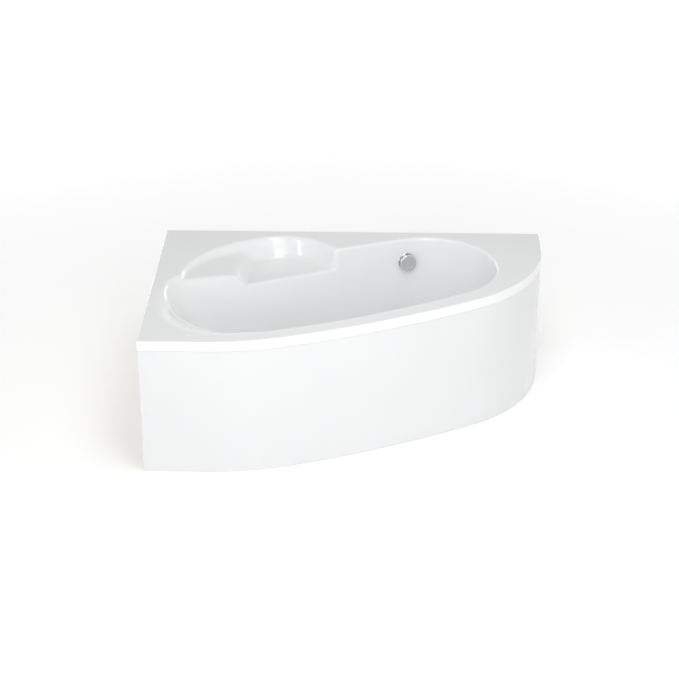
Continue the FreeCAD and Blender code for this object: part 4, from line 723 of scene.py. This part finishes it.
def pressed_chips(name, tint):
    """Chipboard: flat wood chips of many shades, pressed with resin."""
    made = Finish(name, tint, .75)
    chips = made.shades(190, made.placed((1, .45, 1.6), (.2, .1, .5)))
    made.tints(chips, (.10, .62), (.45, .95), (.80, 1.25))
    made.roughen(made.noise(60, 3), .62, .85)
    made.raise_by(chips, .4, .0004)
    return made.material


def planed_pine(name, tint, along):
    """Planed pine with its grain along the batten."""
    stretch = {"x": (1.2, 26, 26), "y": (26, 1.2, 26)}[along]
    made = Finish(name, tint, .6)
    place = made.placed(stretch)
    grain = made.bands(.55, place, 3.5)
    made.tints(grain, (.0, .78), (.40, 1.0), (.75, 1.12), (1.0, .90))
    made.roughen(made.noise(9, 4, place), .48, .70)
    made.raise_by(made.noise(14, 5, place), .35, .0003)
    return made.material


def spangled_steel(name, tint):
    """Hot-dip galvanised steel with its crystals and a little white bloom."""
    made = Finish(name, tint, .42, .9)
    made.tints(made.shades(85), (.15, .80), (.5, .98), (.85, 1.15))
    made.roughen(made.noise(55, 4), .30, .55)
    made.raise_by(made.noise(260, 3), .2, .0001)
    return made.material


def plated_steel(name, tint, low=.22, high=.40):
    """Zinc plating: bright, with uneven dulling."""
    made = Finish(name, tint, low, 1.0)
    made.tints(made.noise(140, 3), (.32, .86), (.68, 1.06))
    made.roughen(made.noise(210, 4), low, high)
    made.raise_by(made.noise(700, 2), .12, .00006)
    return made.material


def polished_chrome(name, tint):
    """Chrome plating, nearly a mirror, with a faint unevenness."""
    made = Finish(name, tint, .08, 1.0)
    made.tints(made.noise(60, 2), (.3, .96), (.7, 1.0))
    made.roughen(made.noise(180, 3), .06, .13)
    made.raise_by(made.noise(45, 2), .12, .0001)
    return made.material


def moulded_plastic(name, tint, low, high, grain=1100):
    """Injection-moulded plastic with a fine eroded surface and slight flow marks."""
    made = Finish(name, tint, low)
    made.tints(made.noise(11, 3), (.30, .94), (.70, 1.04))
    made.roughen(made.noise(75, 3), low, high)
    made.raise_by(made.noise(grain, 2), .25, .00008)
    made.raise_by(made.noise(30, 2), .2, .0003)
    return made.material


def studio_paper(name, tint):
    """Seamless white paper with a painted glow that is stronger away from the tub."""
    made = Finish(name, tint, .9)
    made.tints(made.noise(1.2, 2), (.3, .995), (.7, 1.0))
    made.roughen(made.noise(3, 2), .85, .95)
    made.raise_by(made.noise(260, 3), .1, .0001)
    # painted glow: the paper gives off light of its own, more the farther it lies from the tub's
    # middle
    away = made.node("ShaderNodeVectorMath", Vector=made.space)
    away.operation = "LENGTH"
    glow = eased(made.tree, away.outputs["Value"], 1.2, 7, .27, .66)
    return made.shade(Emission_Color=(1, 1, 1, 1), Emission_Strength=glow).material


def make_finishes():
    """Every finish of the tub, by the record's slot. Pine has one for each way a batten runs."""
    tints = sizes("tub_colours")
    return {
        "acrylic": gloss_acrylic("tub_acrylic", tints.acrylic),
        "panel_acrylic": gloss_acrylic("panel_acrylic", tints.panel),
        "glassfibre": sprayed_laminate("glass_fibre_laminate", tints.laminate),
        "chipboard": pressed_chips("chipboard", tints.chipboard),
        "pine": planed_pine("pine_along", tints.pine, "x"),
        "pine_across": planed_pine("pine_across", tints.pine, "y"),
        "galvanised": spangled_steel("galvanised_steel", tints.galvanised),
        "zinc": plated_steel("zinc_plate", tints.zinc),
        "nylon": moulded_plastic("nylon", tints.nylon, .38, .55),
        "chrome": polished_chrome("chrome", tints.chrome),
        "rubber": moulded_plastic("rubber", tints.rubber, .55, .75, 700),
        "waste_plastic": moulded_plastic("waste_plastic", tints.waste, .30, .46),
        "black_plastic": moulded_plastic("black_plastic", tints.black, .35, .52),
        "hose_plastic": moulded_plastic("hose_plastic", tints.hose, .32, .48),
        "brass": plated_steel("brass", tints.brass, .18, .34),
        "cable_sheath": moulded_plastic("cable_sheath", tints.sheath, .36, .50),
        "steel_wire": plated_steel("steel_wire", tints.galvanised, .25, .42),
    }


# ------------------------------------------------------------------ pieces

def make_tub():
    tub = sizes("tub_sizes")
    bm = tub_mesh(tub)
    # open the overflow's hole and draw its edge to a true circle
    to_wall = OVERFLOW.inverted()

    def at_hole(place, reach):
        return abs(place.z) < HOLE_DEPTH and place.xy.length < reach

    inside = [face for face in bm.faces if at_hole(to_wall @ face.calc_center_median(), HOLE_CUT)]
    bmesh.ops.delete(bm, geom=inside, context="FACES")
    for corner in bm.verts:
        place = to_wall @ corner.co
        if corner.is_boundary and at_hole(place, HOLE_EDGE):
            place.xy = place.xy.normalized() * HOLE_RADIUS
            corner.co = OVERFLOW @ Vector((place.x, place.y, 0))
    if sum(face.normal.z for face in bm.faces) < 0:
        bmesh.ops.reverse_faces(bm, faces=bm.faces)
    bmesh.ops.solidify(bm, geom=list(bm.faces), thickness=tub.acrylic)
    finish_piece("moulded_tub", bm, "tub", "acrylic", ["tub_shell"], welded=False)


PANEL_STEPS = (.015, .004, .022)      # radians between sections on each round of the front


def make_panel():
    panel = sizes("panel_sizes")
    low, high = cad_box
    face, inside = panel.setback, panel.setback + panel.wall
    deep, left = inside + panel.lip, low.x + panel.setback
    bm = bmesh.new()
    outline = [(face, panel.foot), (deep, panel.foot), (deep, panel.foot + panel.wall),
               (inside, panel.foot + panel.wall), (inside, panel.top - panel.wall),
               (deep, panel.top - panel.wall), (deep, panel.top), (face, panel.top)]
    bm.faces.new([bm.verts.new((left, low.y + inset, height)) for inset, height in outline])
    bmesh.ops.bevel(bm, geom=list(bm.verts), offset=panel.edge, segments=3, profile=.5, material=-1,
                    affect="VERTICES", offset_type="OFFSET")
    section = [max(bm.faces, key=lambda f: f.calc_area())]

    def pushed(way):
        made = bmesh.ops.extrude_face_region(bm, geom=section)["geom"]
        corners = [item for item in made if isinstance(item, bmesh.types.BMVert)]
        bmesh.ops.translate(bm, vec=way, verts=corners)
        return [f for f in made if isinstance(f, bmesh.types.BMFace)]

    def swept(centre, angle, step):
        made = bmesh.ops.spin(bm, geom=section, cent=(*centre, 0), axis=UP, angle=angle,
                              steps=max(int(angle / step), 2), use_duplicate=False)["geom_last"]
        return [f for f in made if isinstance(f, bmesh.types.BMFace)]

    # straight at the left, round the curved front, and straight to the back
    first, last = FRONT_ROUNDS
    hub = hub_of(first, last, FRONT_SWEEP)
    turn, back = [math.atan2(c[1] - hub[1], c[0] - hub[0]) for c in FRONT_ROUNDS]
    section = pushed((first[0] - left, 0, 0))
    rounds = (first[:2], turn + TURN / 4), (hub, back - turn), (last[:2], -back)
    for (centre, angle), step in zip(rounds, PANEL_STEPS):
        section = swept(centre, angle, step)
    section = pushed((0, high.y - panel.setback - last[1], 0))
    bmesh.ops.recalc_face_normals(bm, faces=bm.faces)
    # the strips turned in at each wall, a hair inside the panel's own faces
    hair, gap = .0001, .001
    tall, middle = panel.top - panel.foot - gap, (panel.top + panel.foot) / 2
    strip, wall = panel.returned / 2 + gap, panel.wall / 2 + hair
    strips = (((left + wall, low.y + face + strip, middle), (panel.wall, panel.returned, tall)),
              ((high.x - face - strip, high.y - face - wall, middle),
               (panel.returned, panel.wall, tall)))
    for place, wide in strips:
        shape = Matrix.LocRotScale(Vector(place), None, Vector(wide))
        made = bmesh.ops.create_cube(bm, size=1, matrix=shape)["verts"]
        edges = list({edge for corner in made for edge in corner.link_edges})
        bmesh.ops.bevel(bm, geom=edges, offset=.0006, segments=2, profile=.5, material=-1,
                        affect="EDGES")
    finish_piece("apron_panel", bm, "tub", "panel_acrylic", ["front_panel"])


# The knob from the middle of its back, over its face's edge: inset from the rim, and height
KNOB_PROFILE = [
    (.0040, .0220), (.0040, .0098), (.0034, .0092), (.0022, .0090), (.0006, .0092), (.0, .0100),
    (.0, .0160), (.0, .0215), (.0003, .0228), (.0010, .0240), (.0021, .0247), (.0036, .0250),
    (.0058, .02505), (.0085, .02495), (.0125, .0246), (.0130, .02445), (.0135, .0243),
    (.0160, .0243), (.0220, .0244), (.0290, .02445)]
KNOB_POINTS, SCALLOPS, SCALLOP_DEPTH, SCALLOP_FADE = 192, 8, .0022, .013


def make_knob():
    fit = sizes("fitting_sizes")
    bearing = np.arange(KNOB_POINTS) / KNOB_POINTS * TURN
    hollow = fit.knob - SCALLOP_DEPTH + fit.knob_scallop
    off = ((bearing * SCALLOPS / TURN + .5) % 1 - .5) * TURN / SCALLOPS
    aside = hollow * np.sin(off)
    reach = hollow * np.cos(off) - np.sqrt(np.maximum(fit.knob_scallop ** 2 - aside ** 2, 0))
    edge = np.where(np.abs(aside) < fit.knob_scallop, np.minimum(reach, fit.knob), fit.knob)
    for _ in range(4):
        edge = (np.roll(edge, 1) + 2 * edge + np.roll(edge, -1)) / 4
    rings = []
    for inset, height in KNOB_PROFILE:
        share = np.clip(1 - inset / SCALLOP_FADE, 0, 1)
        radius = (edge * share + fit.knob * (1 - share)) - inset
        rings.append([(r * math.cos(b), r * math.sin(b), height) for r, b in zip(radius, bearing)])
    bm = bmesh.new()
    extrude_rings(bm, rings)
    close_ends(bm)
    bmesh.ops.transform(bm, matrix=OVERFLOW, verts=bm.verts)
    finish_piece("scalloped_knob", bm, "knob", "chrome", ["overflow_knob"])


def make_rosette():
    fit = sizes("fitting_sizes")
    bm = bmesh.new()
    outline = [(.0240, -.020), (.02695, -.020), (.02695, .0), (fit.rosette, .0),
               (fit.rosette, .0022), (fit.rosette - .0022, .004), (.0262, .0036), (.0240, .0030),
               (.0240, -.020)]
    turned(bm, softened(outline, .0012), OVERFLOW, 96)
    finish_piece("overflow_ring", bm, "tub", "chrome", ["overflow_rosette"])


PLUG_HEIGHT, SPIDER_HEIGHT = .1215, .1035     # room floor to the plug's foot and the spider


def make_plug():
    fit = sizes("fitting_sizes")
    bm = bmesh.new()
    outline = [(.0002, .0), (fit.cap, .0), (fit.cap, .0020), (.0262, .0034), (.0220, .0046),
               (.0130, .0053), (.0002, .0055)]
    turned(bm, softened(outline, .0014), Matrix.Translation((DRAIN.x, DRAIN.y, PLUG_HEIGHT)), 80)
    close_ends(bm)
    finish_piece("domed_plug", bm, "plug", "chrome", ["plug_cap"])
    bm = bmesh.new()
    outline = [(.0200, -.022), (.0230, -.022), (.0230, .0), (fit.flange, .0),
               (fit.flange, .0010), (fit.flange - .0022, .0024), (.0240, .0023), (.0200, .0004),
               (.0200, -.022)]
    turned(bm, softened(outline, .0010), Matrix.Translation(DRAIN), 80)
    spider = Matrix.Translation((DRAIN.x, DRAIN.y, SPIDER_HEIGHT))
    hub = [(.00405, -.003), (.007, -.003), (.007, .003), (.00405, .003), (.00405, -.003)]
    turned(bm, hub, spider, 32)
    arm = Matrix.LocRotScale(Vector((.0135, 0, 0)), None, Vector((.0145, .003, .0055)))
    for number in range(3):
        spin = Matrix.Rotation(TURN * number / 3, 4, "Z")
        bmesh.ops.create_cube(bm, size=1, matrix=spider @ spin @ arm)
    finish_piece("waste_flange", bm, "tub", "chrome", ["drain_flange"])


ROD_STEPS, THREAD_DEPTH, CREST = 20, .00085, (.45, .58)     # a crest's place in one turn's rise


def make_rods():
    fit = sizes("fitting_sizes")
    for number in range(1, 7):
        node = "foot_rod_%d" % number
        low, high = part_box(node)
        outline = []
        for tooth in range(int((high.z - low.z) / fit.pitch) - 1):
            foot = low.z + tooth * fit.pitch
            outline.append((fit.rod - THREAD_DEPTH, foot))
            outline += [(fit.rod, foot + fit.pitch * share) for share in CREST]
        bm = bmesh.new()
        bmesh.ops.spin(bm, geom=drawn_line(bm, outline), cent=(0, 0, 0), axis=UP, angle=TURN,
                       steps=ROD_STEPS, dvec=(0, 0, fit.pitch / ROD_STEPS), use_duplicate=False)
        bmesh.ops.remove_doubles(bm, verts=bm.verts, dist=1e-5)
        close_ends(bm)
        middle = (low.x + high.x) / 2, (low.y + high.y) / 2, 0
        bmesh.ops.translate(bm, vec=middle, verts=bm.verts)
        finish_piece("threaded_rod_%d" % number, bm, "rod_%d" % number, "zinc", [node],
                     sharp=math.radians(75))


HOSE_TOP, HOSE_END = Vector((.21297, .44669, .3818)), Vector((.2242, .2619, .0760))
HOSE_BEND, HOSE_POINTS = .120, 28
RIDGE = (0, .0005, .0019, .0005)              # how deep each quarter of a ridge lies


def make_hose():
    """The hose runs down, round one bend and level to the waste."""
    fit = sizes("fitting_sizes")
    way = Vector((HOSE_END.x - HOSE_TOP.x, HOSE_END.y - HOSE_TOP.y, 0)).normalized()
    side = way.cross(UP)
    fall = HOSE_TOP.z - HOSE_END.z - HOSE_BEND
    curve = HOSE_BEND * TURN / 4
    level = (HOSE_END - HOSE_TOP).dot(way) - HOSE_BEND
    total = fall + curve + level
    quarters = round(total / fit.ridge) * 4
    bearings = [TURN * number / HOSE_POINTS for number in range(HOSE_POINTS)]
    rings = []
    for count in range(quarters + 1):
        run = total * count / quarters
        if run < fall:
            place, out = HOSE_TOP - UP * run, way
        elif run < fall + curve:
            angle = (run - fall) / HOSE_BEND
            place = HOSE_TOP - UP * (fall + HOSE_BEND * math.sin(angle))
            place += way * HOSE_BEND * (1 - math.cos(angle))
            out = way * math.cos(angle) + UP * math.sin(angle)
        else:
            place = HOSE_TOP + way * (HOSE_BEND + run - fall - curve) - UP * (fall + HOSE_BEND)
            out = UP
        radius = fit.hose - RIDGE[count % 4]
        rings.append([place + (out * math.cos(b) + side * math.sin(b)) * radius for b in bearings])
    bm = bmesh.new()
    extrude_rings(bm, rings)
    close_ends(bm)
    finish_piece("ridged_hose", bm, "tub", "hose_plastic", ["overflow_hose"])


# The pull cable's route, from the drain's lug up behind the tub to the overflow
CABLE_ROUTE = [
    (.184, .207, .0675), (.184, .274, .0675), (.179, .336, .072), (.171, .388, .092),
    (.158, .426, .134), (.147, .443, .194), (.139, .447, .260), (.131, .441, .328),
    (.122, .429, .392), (.13619, .42421, .43178), (.18041, .43689, .43178),
]


def make_cable():
    fit = sizes("fitting_sizes")
    line = bpy.data.curves.new("pull_cable", "CURVE")
    line.dimensions = "3D"
    line.bevel_depth = fit.cable / 2
    line.bevel_resolution = 5
    line.resolution_u = 10
    line.use_fill_caps = True
    spline = line.splines.new("NURBS")
    spline.points.add(len(CABLE_ROUTE) - 1)
    for point, place in zip(spline.points, CABLE_ROUTE):
        point.co = (*place, 1)
    spline.order_u = 3
    spline.use_endpoint_u = True
    line.materials.append(FINISHES["cable_sheath"])
    cable = bpy.data.objects.new("pull_cable", line)
    bpy.context.scene.collection.objects.link(cable)
    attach(cable, "tub")
    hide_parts("cable_conduit")


def dress_nodes():
    """Give every node of the frame its slot's finish."""
    for part in frame["record"]["subparts"]:
        node, slot = frame["nodes"][part["node"]], part["material_slot"]
        node.data.materials.clear()
        finish = "pine_across" if part["node"] == "rim_batten_left" else slot
        node.data.materials.append(FINISHES[finish])


# ------------------------------------------------------------------ studio

def softbox(name, place, towards, wide, tall, watts):
    light = bpy.data.lights.new(name, "AREA")
    light.shape = "RECTANGLE"
    light.size, light.size_y, light.energy = wide, tall, watts
    lamp = bpy.data.objects.new(name, light)
    lamp.location = place
    lamp.rotation_euler = (Vector(towards) - Vector(place)).to_track_quat("-Z", "Y").to_euler()
    lamp.visible_camera = False
    bpy.context.scene.collection.objects.link(lamp)


# The camera that fits the photograph: place in metres, pitch down and yaw in radians, lens in mm
CAMERA_PLACE, CAMERA_PITCH, CAMERA_YAW = (.12298, -6.37833, 3.52011), .46680, -.025506
SENSOR_WIDTH, LENS, VIEW_DEPTH = 36, 98.47, 60


def make_camera(scene):
    camera = bpy.data.cameras.new("camera")
    camera.sensor_width, camera.sensor_fit = SENSOR_WIDTH, "HORIZONTAL"
    camera.lens, camera.clip_end = LENS, VIEW_DEPTH
    viewer = bpy.data.objects.new("camera", camera)
    viewer.location = CAMERA_PLACE
    level = math.cos(CAMERA_PITCH)
    forward = Vector((math.sin(CAMERA_YAW) * level, math.cos(CAMERA_YAW) * level,
                      -math.sin(CAMERA_PITCH)))
    viewer.rotation_euler = forward.to_track_quat("-Z", "Y").to_euler()
    scene.collection.objects.link(viewer)
    scene.camera = viewer


def make_world(scene, overhead):
    """Light from all round: brightest at the horizon, where the paper sweeps up."""
    world = scene.world or bpy.data.worlds.new("studio")
    scene.world = world
    world.use_nodes = True
    tree = world.node_tree
    way = tree.nodes.new("ShaderNodeTexCoord").outputs["Generated"]
    height = wired(tree, tree.nodes.new("ShaderNodeSeparateXYZ"), Vector=way).outputs["Z"]
    glow = eased(tree, height, .12, .45, 1.0, overhead)
    wired(tree, tree.nodes["Background"], Color=(1, 1, 1, 1), Strength=glow)


def make_stage():
    scene = bpy.context.scene
    studio = sizes("studio")
    make_camera(scene)
    scene.view_settings.view_transform = "Standard"
    make_world(scene, studio.ambient)
    softbox("boom_light", (.35, -1.40, 2.85), (.15, -.1, .5), .9, 3.0, studio.boom)
    softbox("front_light", (.8, -5.2, 2.5), (.2, 0, .45), 2.5, 2.1, studio.front)
    softbox("window_light", (-3.3, -4.2, 1.9), (-.2, .2, .5), .50, .60, studio.window)
    softbox("back_left_light", (-2.25, 4.9, .95), (0, 0, .5), 1.9, 1.0, studio.back)
    softbox("back_right_light", (2.25, 4.9, .95), (0, 0, .5), 1.9, 1.0, studio.back)
    floor_mesh = bmesh.new()
    bmesh.ops.create_circle(floor_mesh, cap_ends=True, segments=96, radius=26)
    mesh = bpy.data.meshes.new("studio_floor")
    floor_mesh.to_mesh(mesh)
    floor_mesh.free()
    mesh.materials.append(studio_paper("studio_paper", sizes("tub_colours").backdrop))
    floor = bpy.data.objects.new("studio_floor", mesh)
    scene.collection.objects.link(floor)


# ------------------------------------------------------------------ operators

class BATHTUB_OT_finishes(bpy.types.Operator):
    """Make the finishes and give them to the nodes of the frame"""
    bl_idname = "bathtub.finishes"
    bl_label = "Finishes"

    def execute(self, context):
        FINISHES.update(make_finishes())
        dress_nodes()
        return {"FINISHED"}


class BATHTUB_OT_tub(bpy.types.Operator):
    """Mould the tub: rim, skirt, headrest, ledge, seat and basin"""
    bl_idname = "bathtub.tub"
    bl_label = "Moulded Tub"

    def execute(self, context):
        make_tub()
        return {"FINISHED"}


class BATHTUB_OT_panel(bpy.types.Operator):
    """Bend the front panel round the rim's curve"""
    bl_idname = "bathtub.panel"
    bl_label = "Front Panel"

    def execute(self, context):
        make_panel()
        return {"FINISHED"}


class BATHTUB_OT_overflow(bpy.types.Operator):
    """Turn the overflow's knob, ring and hose"""
    bl_idname = "bathtub.overflow"
    bl_label = "Overflow"

    def execute(self, context):
        make_knob()
        make_rosette()
        make_hose()
        return {"FINISHED"}


class BATHTUB_OT_waste(bpy.types.Operator):
    """Turn the plug and the flange in the basin's floor"""
    bl_idname = "bathtub.waste"
    bl_label = "Waste"

    def execute(self, context):
        make_plug()
        return {"FINISHED"}


class BATHTUB_OT_feet(bpy.types.Operator):
    """Cut the threads of the six levelling feet"""
    bl_idname = "bathtub.feet"
    bl_label = "Feet"

    def execute(self, context):
        make_rods()
        return {"FINISHED"}


class BATHTUB_OT_cable(bpy.types.Operator):
    """Lay the pull cable from the waste to the overflow"""
    bl_idname = "bathtub.cable"
    bl_label = "Pull Cable"

    def execute(self, context):
        make_cable()
        return {"FINISHED"}


class BATHTUB_OT_stage(bpy.types.Operator):
    """Set the camera, the lights and the floor"""
    bl_idname = "bathtub.stage"
    bl_label = "Stage"

    def execute(self, context):
        make_stage()
        return {"FINISHED"}


class BATHTUB_PT_panel(bpy.types.Panel):
    """Sizes, colours and pieces of the bathtub"""
    bl_idname = "BATHTUB_PT_panel"
    bl_label = "Corner Bathtub"
    bl_space_type = "VIEW_3D"
    bl_region_type = "UI"
    bl_category = "Bathtub"

    def draw(self, context):
        for name in GROUPS:
            box = self.layout.box()
            group = getattr(context.scene, name)
            for prop in group.bl_rna.properties:
                if prop.identifier not in ("rna_type", "name"):
                    box.prop(group, prop.identifier)
        for operator in PIECES:
            self.layout.operator(operator.bl_idname)


GROUPS = {"tub_sizes": TubSizes, "panel_sizes": PanelSizes, "fitting_sizes": FittingSizes,
          "tub_colours": Colours, "studio": StudioSizes}
PIECES = (BATHTUB_OT_stage, BATHTUB_OT_finishes, BATHTUB_OT_cable, BATHTUB_OT_tub, BATHTUB_OT_panel,
          BATHTUB_OT_overflow, BATHTUB_OT_waste, BATHTUB_OT_feet)
CLASSES = (*GROUPS.values(), *PIECES, BATHTUB_PT_panel)


def register():
    for cls in CLASSES:
        bpy.utils.register_class(cls)
    for name, group in GROUPS.items():
        setattr(bpy.types.Scene, name, bpy.props.PointerProperty(type=group))


def unregister():
    for name in GROUPS:
        delattr(bpy.types.Scene, name)
    for cls in reversed(CLASSES):
        bpy.utils.unregister_class(cls)


def main():
    register()
    bpy.ops.bathtub.stage()
    bpy.ops.bathtub.finishes()
    bpy.ops.bathtub.cable()
    bpy.ops.bathtub.tub()
    bpy.ops.bathtub.panel()
    bpy.ops.bathtub.overflow()
    bpy.ops.bathtub.waste()
    bpy.ops.bathtub.feet()


if __name__ == "__main__":
    main()
